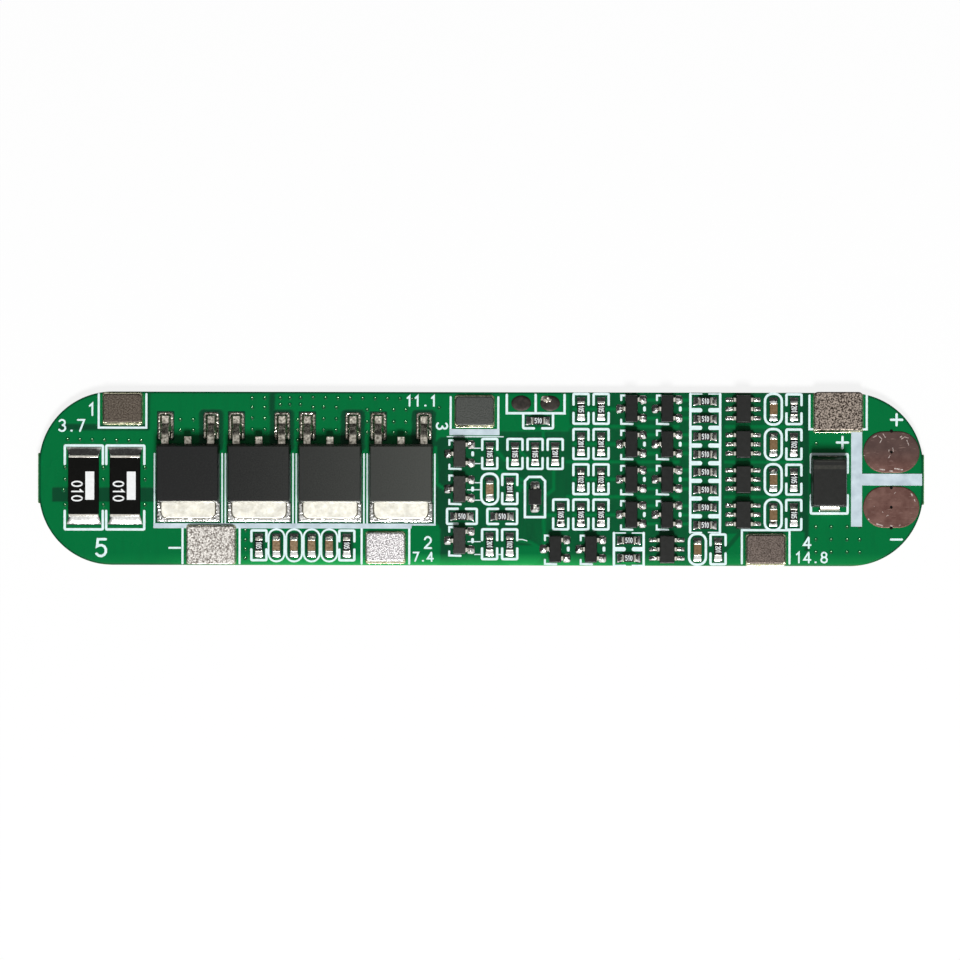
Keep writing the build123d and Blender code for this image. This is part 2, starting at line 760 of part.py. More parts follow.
diode_tips = side_views(diode_point, diode_span / 2, front) + side_views(diode_point, diode_span / 2, rear)
lead_tips = transistor_tips + monitor_tips + diode_tips
lead_solder = solder_wedges(lead_tips, diode_lead_width, lead_solder_reach, lead_solder_height)
lead_solder.part.label = "lead_solder"
export_step(lead_solder.part, "parts/lead_solder.step")

shunt_tips = []
for point in shunts:
    shunt_tips += side_views(point, shunt_length / 2, front) + side_views(point, shunt_length / 2, rear)
shunt_solder = solder_wedges(shunt_tips, shunt_width, shunt_solder_reach, shunt_solder_height)
shunt_solder.part.label = "shunt_solder"
export_step(shunt_solder.part, "parts/shunt_solder.step")

clamp_reach = clamp_length / 2 + clamp_lead_reach
clamp_tips = side_views(clamp_point, clamp_reach, front) + side_views(clamp_point, clamp_reach, rear)
clamp_solder = solder_wedges(clamp_tips, clamp_lead_width, clamp_solder_reach, clamp_lead_thickness)
clamp_solder.part.label = "clamp_diode_solder"
export_step(clamp_solder.part, "parts/clamp_diode_solder.step")

# Each weld tab has a fillet along its lower side, apart from the one that ends at the board's edge
tab_edges = []
for name, (point, length, width) in weld_tabs.items():
    if name != "battery_negative_tab":
        tab_edges += side_views(point, width / 2, front)
tab_solder_length = cell_tab_length - 2 * (weld_tab_corner + weld_tab_solder_inset)
tab_solder = solder_wedges(tab_edges, tab_solder_length, weld_tab_solder_reach, weld_tab_solder_height)
tab_solder.part.label = "weld_tab_solder"
export_step(tab_solder.part, "parts/weld_tab_solder.step")

# Shallow pools of solder round the feet and the heat tab of each power transistor
pool_length = power_lead_reach + power_solder_reach - power_stub_reach / 2
pool_reach = power_lead_reach + power_solder_reach - pool_length / 2
tab_pool_width = power_tab_width + 2 * power_tab_solder_side
tab_pool_length = power_tab_reach + power_tab_solder_reach
with BuildPart() as power_solder:
    with BuildSketch(Plane.XY.offset(board_thickness)):
        with Locations(*[moved(p, s, pool_reach) for p in power_rears for s in power_shifts]):
            Rectangle(power_solder_width, pool_length)
        with Locations(*[moved(p, 0, power_tab_reach - tab_pool_length / 2) for p in power_fronts]):
            Rectangle(tab_pool_width, tab_pool_length)
    extrude(amount=power_solder_height)
    add(power_frames, mode=Mode.SUBTRACT)
power_solder.part.label = "power_transistor_solder"
export_step(power_solder.part, "parts/power_transistor_solder.step")


# White print: frames round the components, bars between the blocks. It stops short of the board's
# edge and of the weld tabs
def frames(points, width, length, line, opening_width=0, opening_length=0):
    """Rectangular print frames, open across their middle one way or the other."""
    with BuildSketch() as shapes:
        with Locations(*points):
            Rectangle(width, length)
        with Locations(*points):
            Rectangle(width - 2 * line, length - 2 * line, mode=Mode.SUBTRACT)
        if opening_length:
            with Locations(*points):
                Rectangle(width + line, opening_length, mode=Mode.SUBTRACT)
        if opening_width:
            with Locations(*points):
                Rectangle(opening_width, length + line, mode=Mode.SUBTRACT)
    return shapes.sketch


def ladder(points, width, pitch):
    """Print round a stack of laid chips: one frame with a split bar between each two of them."""
    half = ladder_edge_line + chip_width / 2 + ladder_clearance
    middle = moved(points[0], 0, -pitch * (len(points) - 1) / 2)
    height = pitch * (len(points) - 1) + 2 * half
    with BuildSketch() as shapes:
        with Locations(middle):
            Rectangle(width, height)
            Rectangle(ladder_print_opening, height - 2 * ladder_edge_line, mode=Mode.SUBTRACT)
        with Locations(*points):
            Rectangle(width - 2 * print_line, chip_width + 2 * ladder_clearance, mode=Mode.SUBTRACT)
    return shapes.sketch


def brackets(points):
    """Print at the left corners of the small transistors, and a dash between their right leads."""
    half = transistor_length / 2
    side = -transistor_bracket_reach
    upper = half + transistor_bracket_upper
    lower = -half - transistor_bracket_lower
    arm = transistor_bracket_arm
    corner_high = (Align.MIN, Align.MAX)
    corner_low = (Align.MIN, Align.MIN)
    with BuildSketch() as shapes:
        with Locations(*[moved(point, side, upper) for point in points]):
            Rectangle(print_line, arm, align=corner_high)
            Rectangle(transistor_bracket_short, print_thin_line, align=corner_high)
        with Locations(*[moved(point, side, lower) for point in points]):
            Rectangle(print_line, arm, align=corner_low)
            Rectangle(transistor_bracket_long, print_line, align=corner_low)
        with Locations(*[moved(point, transistor_dash_shift, 0) for point in points]):
            Rectangle(transistor_dash_width, transistor_dash_length)
    return shapes.sketch


def tab_frame(point, length, width, outward, bar):
    """Print on three sides of a weld tab; the open side is the board's edge."""
    room = length + 2 * (weld_tab_side_clearance + print_line)
    depth = width + weld_tab_inner_clearance + bar
    inward = outward[1]
    with BuildSketch() as shapes:
        with Locations(moved(point, 0, inward * (depth - width) / 2)):
            Rectangle(room, depth)
        with Locations(moved(point, 0, inward * (depth - width) / 2 - inward * bar)):
            Rectangle(room - 2 * print_line, depth, mode=Mode.SUBTRACT)
    return shapes.sketch


def cut_frame(point, width, length, line, corner, both_ends):
    """Print frame with cut corners, at both ends or at the upper end only."""
    with BuildSketch() as shapes:
        for inset, mode in ((0, Mode.ADD), (line, Mode.SUBTRACT)):
            with BuildSketch(mode=Mode.PRIVATE) as outer:
                with Locations(point):
                    Rectangle(width - 2 * inset, length - 2 * inset)
                upper_corners = outer.vertices().group_by(Axis.Y)[-1]
                chamfer(outer.vertices() if both_ends else upper_corners, length=corner - inset / 2)
            add(outer.sketch, mode=mode)
    return shapes.sketch


with BuildSketch() as power_print:
    line_top = power_rear_drop + power_print_start
    line_length = power_bar_drop - line_top
    for station in power_stations:
        for side in (-1, 1):
            edge = station + side * (power_room - print_thin_line) / 2
            with Locations(at(edge, line_top + line_length / 2)):
                Rectangle(print_thin_line, line_length)
    bar_top = power_bar_drop - print_bar / 2
    with Locations(at(power_left, bar_top)):
        Rectangle(power_right - power_left - power_bar_short, print_bar, align=(Align.MIN, Align.MAX))
        Rectangle(power_right - power_left, print_thin_line, align=(Align.MIN, Align.MAX))

with BuildSketch() as divider:
    divider_top = positive_tab_drop + battery_tab_width / 2 + print_gap / 2
    divider_bottom = board_width / 2 + output_shift + output_pad_width / 2 - divider_foot
    with Locations(at(divider_station, (divider_top + divider_bottom) / 2)):
        Rectangle(divider_width, divider_bottom - divider_top)
    with Locations(at(divider_station, board_width / 2)):
        arm_length = board_length - divider_station - divider_end_margin
        Rectangle(arm_length, divider_bar, align=(Align.MIN, Align.CENTER))

tab_prints = {
    "cell_tab_1": print_line,
    "cell_tab_2": print_thin_line,
    "cell_tab_3": tab_3_bar,
    "cell_tab_4": print_thin_line,
}
shunt_print_points = [moved(point, 0, -shunt_shift) for point in shunts]
switch_print_drop = (upper_margin + switch_bar_drop + print_line / 2) / 2
switch_print_length = switch_bar_drop + print_line / 2 - upper_margin
switch_print_points = [at(station, switch_print_drop) for station in switch_stations]

with BuildPart() as white_print:
    with BuildSketch(Plane.XY.offset(board_thickness)):
        chip_frame_size = (chip_frame_width, chip_frame_length)
        add(frames(upright_resistors, *chip_frame_size, print_line, 0, chip_print_opening))
        add(frames(laid_resistors, *chip_frame_size[::-1], print_line, chip_print_opening, 0))
        add(frames(shunt_print_points, shunt_room, shunt_frame_length, print_line, 0, shunt_print_opening))
        add(frames([clamp_print_point], clamp_room, clamp_frame_length, print_line, 0, clamp_print_opening))
        add(frames(switch_print_points, switch_room + print_line, switch_print_length, print_line))
        wide_size = (wide_oval_width, wide_oval_length, print_line, wide_oval_corner)
        narrow_size = (narrow_oval_width, chip_frame_length, print_thin_line, narrow_oval_corner)
        for points, size in ((wide_capacitors, wide_size), (narrow_capacitors, narrow_size)):
            for point in points:
                add(cut_frame(point, *size, both_ends=True))
        add(ladder(ladder_resistors, chip_frame_length, ladder_pitch))
        add(ladder(pair_resistors, chip_frame_length, ladder_pitch))
        add(brackets(transistors))
        diode_size = (diode_frame_width, diode_frame_length, print_line, diode_print_corner)
        add(cut_frame(diode_point, *diode_size, both_ends=False))
        add(power_print.sketch)
        add(divider.sketch)
        for name, bar in tab_prints.items():
            point, length, width = weld_tabs[name]
            add(tab_frame(point, length, width, front if point[1] > 0 else rear, bar))
        for name, outward in (("battery_positive_tab", front), ("battery_negative_tab", rear)):
            point, length, width = weld_tabs[name]
            inner_bar_drop = weld_tab_inner_clearance + print_line
            bar_point = moved(point, 0, -outward[1] * inner_bar_drop / 2)
            add(tab_frame(bar_point, length, width - inner_bar_drop, outward, print_line))
        for point, length, width in weld_tabs.values():
            with Locations(point):
                Rectangle(length + print_gap, width + print_gap, mode=Mode.SUBTRACT)
        with BuildSketch(mode=Mode.PRIVATE) as printable:
            Rectangle(board_length, board_width)
            fillet(printable.vertices(), radius=end_radius)
            offset(amount=-upper_margin, mode=Mode.REPLACE)
        add(printable.sketch, mode=Mode.INTERSECT)
    extrude(amount=print_thickness)
white_print.part.label = "white_print"
export_step(white_print.part, "parts/white_print.step")
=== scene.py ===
# %% [markdown]
# # A battery management board
#
# The object is a small green circuit board that looks after five lithium cells. It lies on a pale
# table, components up, and the camera looks straight down on it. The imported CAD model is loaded
# first. Each later cell makes one kind of piece or one finish, and reads where it goes from the
# boxes of the CAD solids. What the CAD model doesn't hold, such as tracks, vias and figures, is
# listed in millimetres from the middle of the board.

import bpy
import numpy as np
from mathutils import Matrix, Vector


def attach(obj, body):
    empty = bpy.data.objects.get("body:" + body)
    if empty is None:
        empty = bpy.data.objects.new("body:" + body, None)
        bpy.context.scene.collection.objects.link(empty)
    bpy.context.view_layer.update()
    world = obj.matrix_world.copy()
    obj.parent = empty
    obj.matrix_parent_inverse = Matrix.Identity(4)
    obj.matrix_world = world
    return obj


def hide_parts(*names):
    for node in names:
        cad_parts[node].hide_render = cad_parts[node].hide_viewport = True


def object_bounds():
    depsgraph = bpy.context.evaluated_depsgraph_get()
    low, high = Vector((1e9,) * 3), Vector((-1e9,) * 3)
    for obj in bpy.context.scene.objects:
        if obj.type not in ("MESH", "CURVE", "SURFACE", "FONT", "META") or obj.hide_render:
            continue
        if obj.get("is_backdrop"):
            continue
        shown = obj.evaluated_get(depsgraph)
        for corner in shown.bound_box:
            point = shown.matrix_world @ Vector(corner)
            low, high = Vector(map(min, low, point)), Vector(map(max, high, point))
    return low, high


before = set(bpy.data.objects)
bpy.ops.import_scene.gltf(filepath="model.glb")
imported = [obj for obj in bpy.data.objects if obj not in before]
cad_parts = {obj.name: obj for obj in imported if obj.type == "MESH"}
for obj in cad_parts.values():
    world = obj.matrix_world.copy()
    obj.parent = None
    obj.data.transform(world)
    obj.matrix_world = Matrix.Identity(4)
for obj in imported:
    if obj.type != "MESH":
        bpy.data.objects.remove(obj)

cad_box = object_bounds()
print("CAD nodes:", len(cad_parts))

# %% [markdown]
# ## Where the solids are
#
# Like pieces share a CAD node: all the chip resistors are one node, for example. A node's mesh is
# loose triangles, so corners at the same place are given one number first. Corners of a triangle
# then belong together, and the lowest number is passed on until nothing changes. Each group is one
# solid, and its box says where a finer piece has to go. All lengths below are in millimetres, and
# they become metres when a mesh is made.

# %% Boxes of the separate solids in a node
MM = 0.001
SAME_PLACE = 0.001


def read(items, field, kind):
    """A field of three values of a mesh's vertices or triangles, as an array of rows."""
    values = np.empty(len(items) * 3, dtype=kind)
    items.foreach_get(field, values)
    return values.reshape(-1, 3)


def solids_of(node):
    """Lowest and highest corners of a node's separate solids, from left to right."""
    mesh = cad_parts[node].data
    mesh.calc_loop_triangles()
    corners = read(mesh.vertices, "co", float) / MM
    _, place = np.unique(np.round(corners / SAME_PLACE), axis=0, return_inverse=True)
    triangles = place[read(mesh.loop_triangles, "vertices", int)]
    group = np.arange(place.max() + 1)
    while True:
        passed_on = group.copy()
        np.minimum.at(passed_on, triangles, group[triangles].min(axis=1)[:, None])
        if (passed_on == group).all():
            break
        group = passed_on
    _, solid = np.unique(group[place], return_inverse=True)
    lows = np.full((solid.max() + 1, 3), np.inf)
    highs = -lows
    np.minimum.at(lows, solid, corners)
    np.maximum.at(highs, solid, corners)
    order = np.lexsort((lows[:, 1].round(2), lows[:, 0].round(2)))
    return lows[order], highs[order]


def box_of(node):
    """Lowest and highest corner of a node that is one solid."""
    return [corner[0] for corner in solids_of(node)]


def solids_of_all(names):
    """The boxes of several nodes together, in the order of their names."""
    return tuple(np.concatenate(corners) for corners in zip(*map(solids_of, names)))


def middles(boxes):
    """Middle points of boxes."""
    return (boxes[0] + boxes[1]) / 2


board_low, board_high = box_of("circuit_board")
board_top = board_high[2]
print("board", board_low.round(2), board_high.round(2))

# %% Boxes of the components
def numbered(name, count):
    """Names of nodes that differ by a number, from 1 up."""
    return [name.format(number) for number in range(1, count + 1)]


power_bodies = numbered("power_transistor_{}_body", 4)
frame_names = numbered("power_transistor_{}_frame", 4)
transistor_names = numbered("signal_transistor_{}", 13)
monitor_names = numbered("cell_monitor_{}", 5)
shunt_bodies = numbered("current_shunt_{}_body", 2)
shunt_end_names = numbered("current_shunt_{}_ends", 2)
small_names = transistor_names + ["small_diode_body"]
power_boxes, transistor_boxes, monitor_boxes, shunt_boxes = map(
    solids_of_all, (power_bodies, transistor_names, monitor_names, shunt_bodies)
)
resistor_boxes, capacitor_boxes = solids_of("chip_resistors"), solids_of("chip_capacitors")
resistor_size = resistor_boxes[1] - resistor_boxes[0]
lying = resistor_size[:, 0] > resistor_size[:, 1]

# Of a power transistor frame's solids the foremost is the heat tab, and those at the rear are leads
frame_boxes = [solids_of(name) for name in frame_names]
rear_half = power_boxes[0][0, 1] + 4
power_leads = [[corner[low[:, 1] > rear_half] for corner in (low, high)] for low, high in frame_boxes]
heat_tabs = [[corner[low[:, 1].argmin()] for corner in (low, high)] for low, high in frame_boxes]
print("resistors:", len(lying), "of them lying:", lying.sum())

# %% [markdown]
# ## From shapes to pieces
#
# A shape here is a set of points, an array of four-sided faces, and a list of faces with more
# sides. The first helper puts shapes together, the last makes the piece: its object stays at the
# origin with its place in its mesh, it rides on the CAD body, and it takes the material it is
# given. The volume it prints is worked out from the triangles; it is positive only where the
# faces point outwards.

# %% Join shapes, and make a piece of them
SHARP_ANGLE = np.radians(35)


def joined(shapes):
    """Several shapes as one: their points in a row, and the numbers in their faces moved on."""
    starts = np.cumsum([0] + [len(points) for points, _, _ in shapes])
    points = np.concatenate([points for points, _, _ in shapes])
    quads = np.concatenate([quads + start for (_, quads, _), start in zip(shapes, starts)])
    caps = [cap + start for (_, _, caps), start in zip(shapes, starts) for cap in caps]
    return points, quads, caps


def volume(mesh):
    """Volume inside a closed mesh in cubic millimetres: the sum of a · (b × c) / 6."""
    mesh.calc_loop_triangles()
    corners = read(mesh.vertices, "co", float)[read(mesh.loop_triangles, "vertices", int)] / MM
    a, b, c = corners.transpose(1, 0, 2)
    return (a * np.cross(b, c)).sum() / 6


def add_object(name, data):
    """A new object with this data, in the scene."""
    made = bpy.data.objects.new(name, data)
    bpy.context.scene.collection.objects.link(made)
    return made


def add_piece(name, shape, material, slot, *replaced):
    """A piece of the object, made of a shape in millimetres or of a list of them."""
    points, quads, caps = joined(shape) if isinstance(shape, list) else shape
    mesh = bpy.data.meshes.new(name)
    mesh.from_pydata((points * MM).tolist(), [], quads.tolist() + [cap.tolist() for cap in caps])
    mesh.shade_smooth()
    mesh.set_sharp_from_angle(angle=SHARP_ANGLE)
    mesh.materials.append(material)
    piece = add_object(name, mesh)
    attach(piece, "root")
    if replaced:
        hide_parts(*replaced)
    print(f"{name}: {len(mesh.polygons)} faces, {volume(mesh):.2f} mm3")
    return piece


# %% [markdown]
# ## Three ways to make a surface
#
# Moulded blocks, chips and caps are stacks of rings: a rounded rectangle at each of a few heights,
# a little smaller where an edge turns over. Formed leads, solder fillets and printed strokes are
# rings too, but carried along a path. Plates whose upper side isn't flat, such as the board's
# green mask, the blasted weld tabs and pools of solder, are grids with a height worked out for
# each point.

# %% Rings, stacked or carried
def outline(half_x, half_y, corner, steps):
    """Rounded rectangle round the origin, anticlockwise.

    Each point is the centre of its corner plus the corner's radius times the cosine and sine of
    its angle. The sizes may be arrays, one for each ring.
    """
    half_x, half_y, corner = (np.asarray(size, dtype=float)[..., None] for size in (half_x, half_y, corner))
    quarter = np.linspace(0, np.pi / 2, steps)
    angle = np.concatenate([quarter + turn for turn in np.pi / 2 * np.arange(4)])
    side_x, side_y = np.repeat([1, -1, -1, 1], steps), np.repeat([1, 1, -1, -1], steps)
    x = side_x * (half_x - corner) + corner * np.cos(angle)
    y = side_y * (half_y - corner) + corner * np.sin(angle)
    return np.stack([x, y], axis=-1)


def lifted(plan, height):
    """Points (x, y) with a height as their third value."""
    return np.concatenate([plan, np.broadcast_to(height, (*plan.shape[:-1], 1))], axis=-1)


def ring_stack(rings, closed=False):
    """Shape of rings (solids, levels, points, 3), each stack going up or along its path.

    Neighbouring points of neighbouring rings make a face. The first and last rings are closed by
    a face each, or joined to each other where the stack closes on itself.
    """
    solids, levels, count = rings.shape[:3]
    number = np.arange(solids * levels * count).reshape(solids, levels, count)
    upper = np.roll(number, -1, axis=1) if closed else number[:, 1:]
    lower = number if closed else number[:, :-1]
    corners = [lower, np.roll(lower, -1, axis=2), np.roll(upper, -1, axis=2), upper]
    caps = [] if closed else [*number[:, 0, ::-1], *number[:, -1]]
    return rings.reshape(-1, 3), np.stack(corners, axis=-1).reshape(-1, 4), caps


def blocks(boxes, corner, edge, steps=3, profile=((0, 0),)):
    """Upright blocks in boxes, with round corners and a rounded upper edge.

    The profile gives, from the underside up, how far the wall lies inside the box and its height
    as a share of the block's. Above its last row the edge turns over: edge · (1 - cos t) inwards
    and edge · (1 - sin t) down, with one more level ring that keeps the top out of its shading.
    """
    low, high = boxes
    inset, share = np.array(profile, dtype=float).T
    turn = np.linspace(0, np.pi / 2, 4)
    edge_inset = np.append(edge * (1 - np.cos(turn)), 1.2 * edge)
    edge_drop = np.append(edge * (1 - np.sin(turn)), 0)
    level = np.concatenate([low[:, 2:] + share * (high - low)[:, 2:], high[:, 2:] - edge_drop], axis=1)
    inset = np.concatenate([inset, inset[-1] + edge_inset])
    half = (high - low)[:, None, :2] / 2 - inset[:, None]
    radius = np.broadcast_to(np.maximum(corner + edge - inset, edge / 4), half.shape[:2])
    plan = outline(half[..., 0], half[..., 1], radius, steps) + middles(boxes)[:, None, None, :2]
    return ring_stack(lifted(plan, level[:, :, None, None]))


def block(low, high, corner, edge, steps=3):
    """One such block between two corner points."""
    return blocks((np.array([low]), np.array([high])), corner, edge, steps)


def grown(boxes, x, y, low, high):
    """Boxes grown on each side by x and y, downwards by low and upwards by high."""
    return boxes[0] - [x, y, low], boxes[1] + [x, y, high]


def carried(origins, outward, u, s, z):
    """Rings carried along paths that start at origins and run outward.

    u runs outward, s to the left of it and z up. All three are (levels, points) arrays, or have
    one more axis in front for the paths.
    """
    left = np.stack([-outward[:, 1], outward[:, 0]], axis=-1)
    plan = u[..., None] * outward[:, None, None] + s[..., None] * left[:, None, None]
    plan = plan + origins[:, None, None, :2]
    height = np.broadcast_to(z, plan.shape[:3])[..., None] + origins[:, None, None, 2:]
    return ring_stack(lifted(plan, height))


def strip(path, width, thickness, corner):
    """Local coordinates u, s, z of a flat strip along a path of (u, z) points.

    The section is a rounded rectangle, width across and thickness along the path's normal, which
    is the path's direction turned a quarter.
    """
    path = np.array(path, dtype=float)
    along = np.gradient(path, axis=0)
    along /= np.linalg.norm(along, axis=1, keepdims=True)
    s, n = outline(width / 2, thickness / 2, corner, 2).T
    u = path[:, :1] - n * along[:, 1:]
    return u, np.broadcast_to(s, u.shape), path[:, 1:] + n * along[:, :1]


def gull_path(start, shoulder, toe_start, reach, height, foot, steps=9):
    """Path of a gull wing lead: level, then down along t² (3 - 2 t), then level on the board."""
    t = np.linspace(0, 1, steps)
    slope = t**2 * (3 - 2 * t)
    u = np.concatenate([[start], shoulder + t * (toe_start - shoulder), [(toe_start + reach) / 2, reach]])
    z = np.concatenate([[height], height + slope * (foot - height), [foot, foot]])
    return np.stack([u, z], axis=-1)


def rings_round(places, radii, heights, steps):
    """Round shapes at some places: a ring of each radius at its height, from the outside in."""
    plan = outline(radii, radii, radii, steps)
    rings = lifted(plan, board_top + np.asarray(heights)[:, None, None])
    return ring_stack(rings[None] + lifted(np.array(places, dtype=float), 0)[:, None, None])


print("rings ready")

# %% Plates with a shaped upper side
def spread(count, crowd):
    """Numbers from -1 to 1, even or crowded towards both ends: (1 - c) t + c sin(π t / 2)."""
    t = np.linspace(-1, 1, count)
    return (1 - crowd) * t + crowd * np.sin(np.pi / 2 * t)


def to_edge(x, y, half_x, half_y, corner):
    """How far points lie inside a rounded rectangle's edge, negative outside it."""
    out_x, out_y = np.abs(x) - (half_x - corner), np.abs(y) - (half_y - corner)
    outside = np.hypot(np.maximum(out_x, 0), np.maximum(out_y, 0))
    return corner - outside - np.minimum(np.maximum(out_x, out_y), 0)


def smooth(value, start, end):
    """0 up to start, 1 from end on, and t² (3 - 2 t) between them."""
    t = np.clip((value - start) / (end - start), 0, 1)
    return t**2 * (3 - 2 * t)


def ripples(x, y, grain, seed, waves=16):
    """Uneven field about 1 high: cosine waves about a grain long, in random directions."""
    random = np.random.default_rng(seed)
    angle, phase = random.uniform(0, 2 * np.pi, (2, waves))
    number = 2 * np.pi / (grain * random.uniform(0.7, 1.6, waves))
    across, up = number * np.cos(angle), number * np.sin(angle)
    return np.cos(x[..., None] * across + y[..., None] * up + phase).sum(axis=-1) / np.sqrt(waves)


def plate(middle, half_x, half_y, corner, base, relief, columns, rows, crowd=0.8):
    """Plate with a flat underside at base and relief(x, y) above it, x and y from its middle.

    Each row of the grid runs between the two sides of a rounded rectangle, which lie at
    half_x - corner + sqrt(corner² - d²), where d is how far the row is into the round corner.
    """
    y = half_y * spread(rows, crowd)
    into = np.maximum(np.abs(y) - (half_y - corner), 0)
    reach = half_x - corner + np.sqrt(np.maximum(corner**2 - into**2, 0))
    x = reach[:, None] * spread(columns, crowd)
    y = np.broadcast_to(y[:, None], x.shape)
    points = np.stack([x + middle[0], y + middle[1], base + relief(x, y)], axis=-1).reshape(-1, 3)
    number = np.arange(rows * columns).reshape(rows, columns)
    corners = [number[:-1, :-1], number[:-1, 1:], number[1:, 1:], number[1:, :-1]]
    quads = np.stack(corners, axis=-1).reshape(-1, 4)
    rim = np.concatenate([number[0, :-1], number[:-1, -1], number[-1, :0:-1], number[:0:-1, 0]])
    under = points[rim] * [1, 1, 0] + [0, 0, base]
    low = len(points) + np.arange(len(rim))
    walls = np.stack([low, np.roll(low, -1), np.roll(rim, -1), rim], axis=-1)
    return np.concatenate([points, under]), np.concatenate([quads, walls]), [low[::-1]]


print("plates ready")

# %% [markdown]
# ## Finishes
#
# Every finish is one principled shader with a few noise nodes in front of it, all in the object's
# own coordinates, so a pattern stays on its piece from any side. Colours are written as they look
# on the screen and turned into linear light. Numbers that are the same all over a piece are set on
# the shader itself.

# %% Small helpers for shader nodes
def colour(red, green, blue):
    """Screen values from 0 to 255 as the linear light that Blender works in."""
    screen = np.array([red, green, blue]) / 255
    linear = np.where(screen <= 0.04045, screen / 12.92, ((screen + 0.055) / 1.055) ** 2.4)
    return (*linear.tolist(), 1.0)


def add_node(tree, kind, inputs=(), **settings):
    """Adds a node. Each input is set to a value, or linked to another node's output."""
    made = tree.nodes.new("ShaderNode" + kind)
    for key, value in settings.items():
        setattr(made, key, value)
    for key, value in dict(inputs).items():
        if isinstance(value, bpy.types.NodeSocket):
            tree.links.new(value, made.inputs[key])
        else:
            made.inputs[key].default_value = value
    return made


def new_finish(name, **sockets):
    """A material, its node tree and its principled shader, with plain sockets set."""
    material = bpy.data.materials.new(name)
    material.use_nodes = True
    shader = material.node_tree.nodes["Principled BSDF"]
    for key, value in sockets.items():
        shader.inputs[key.replace("_", " ")].default_value = value
    return material, material.node_tree, shader


def place_in(tree, axis):
    """The object's own coordinate along an axis, in metres."""
    place = add_node(tree, "TexCoord").outputs["Object"]
    return add_node(tree, "SeparateXYZ", {0: place}).outputs[axis]


def grain(tree, size, detail=3.0, stretch=(1, 1, 1)):
    """Noise with patches about this many millimetres wide, stretched along an axis if asked."""
    place = add_node(tree, "TexCoord").outputs["Object"]
    mapped = add_node(tree, "Mapping", {"Vector": place, "Scale": stretch}).outputs[0]
    inputs = {"Vector": mapped, "Scale": 1 / (size * MM), "Detail": detail}
    return add_node(tree, "TexNoise", inputs).outputs["Fac"]


def ranged(tree, value, low, high, to_low=0.0, to_high=1.0):
    """A value mapped from one range to another, and held inside it."""
    inputs = dict(enumerate((value, low, high, to_low, to_high)))
    return add_node(tree, "MapRange", inputs).outputs["Result"]


def sum_of(tree, operation, first, second, clamped=False):
    """Two values put together, such as their product or the larger of them."""
    inputs = {0: first, 1: second}
    return add_node(tree, "Math", inputs, operation=operation, use_clamp=clamped).outputs[0]


def mixed(tree, factor, first, second):
    """The first colour where the factor is 0, the second where it is 1."""
    first, second = (colour(*value) if isinstance(value, tuple) else value for value in (first, second))
    return add_node(tree, "Mix", {0: factor, 6: first, 7: second}, data_type="RGBA").outputs[2]


def dress(tree, shader, base, height, distance, roughness=None):
    """The shader's colour, its roughness, and bumps: height 1 stands this many millimetres over 0."""
    tree.links.new(base, shader.inputs["Base Color"])
    if roughness:
        tree.links.new(roughness, shader.inputs["Roughness"])
    if distance:
        bump = add_node(tree, "Bump", {"Height": height, "Distance": distance * MM})
        tree.links.new(bump.outputs["Normal"], shader.inputs["Normal"])


def mottled(name, low, high, size, contrast, rough, bump=0.0, bump_size=0.1, **sockets):
    """A finish that runs between two colours in patches, with bumps and patches of roughness.

    Contrast is how much of the noise's range the change from one colour to the other takes.
    """
    material, tree, shader = new_finish(name, **sockets)
    factor = ranged(tree, grain(tree, size), 0.5 - contrast / 2, 0.5 + contrast / 2)
    roughness = ranged(tree, grain(tree, 3 * size), 0.35, 0.65, *rough)
    bumps = bump and grain(tree, bump_size)
    dress(tree, shader, mixed(tree, factor, low, high), bumps, bump, roughness)
    return material


print("finish helpers ready")

# %% [markdown]
# ## The board
#
# The board is glass cloth and resin with copper on both faces and a film of green mask over it.
# Where the mask lies on copper it is brighter and stands a few hundredths higher; where there is
# none it is dark. A separate ribbon for every track would give hundreds of thin pieces that cross
# each other, so the whole upper face is one fine grid instead: a field of distances says for each
# point how deep it lies in copper, and both the height and an attribute for the colour come from it.

# %% The copper pattern under the mask
COPPER_EDGE = 0.07
COPPER_RELIEF = 0.02
TRACK = 0.34
DIAGONAL_GAP = [(25.43, -7.18), (26.74, -5.61)]
DIAGONAL_WIDTH = 0.44
# Half size of the bare resin at a chip, and what it reaches past a power transistor's right lead
CHIP_WELL = np.array([0.65, 1.4])
LEAD_WELL = np.array([[0.88, 0], [0.86, 0.72]])
WELL_CORNER, LEAD_WELL_CORNER = 0.15, 0.5

# Areas and gaps: left, low, right and high edge, and the radius of their corners
copper_areas = [
    (-45.6, -8.8, -4.3, 8.8, 7.4), (-30.0, -8.8, -4.3, 8.8, 0.2), (-12.0, -8.8, -4.2, -5.0, 0.3),
    (-5.2, 4.3, 1.9, 8.8, 0.3), (1.5, 4.95, 9.15, 8.8, 0.2), (1.9, -8.8, 6.4, -6.9, 1.3),
    (33.95, -8.8, 45.6, 8.8, 7.4), (33.95, -8.8, 40.0, 8.8, 0.2), (31.6, -8.8, 40.0, -7.4, 0.2),
    (31.6, -8.8, 33.5, -5.4, 0.2), (25.4, -8.8, 27.3, -5.6, 0.3),
]
copper_gaps = [
    (-43.7, 4.97, -34.3, 5.6, 0.1), (-34.6, 5.0, -34.3, 9.2, 0.1), (-44.4, -2.47, -33.7, -0.93, 0.1),
    (-21.97, 6.5, -21.35, 9.2, 0.1), (-4.7, -4.9, -3.0, 4.2, 0.6),
]
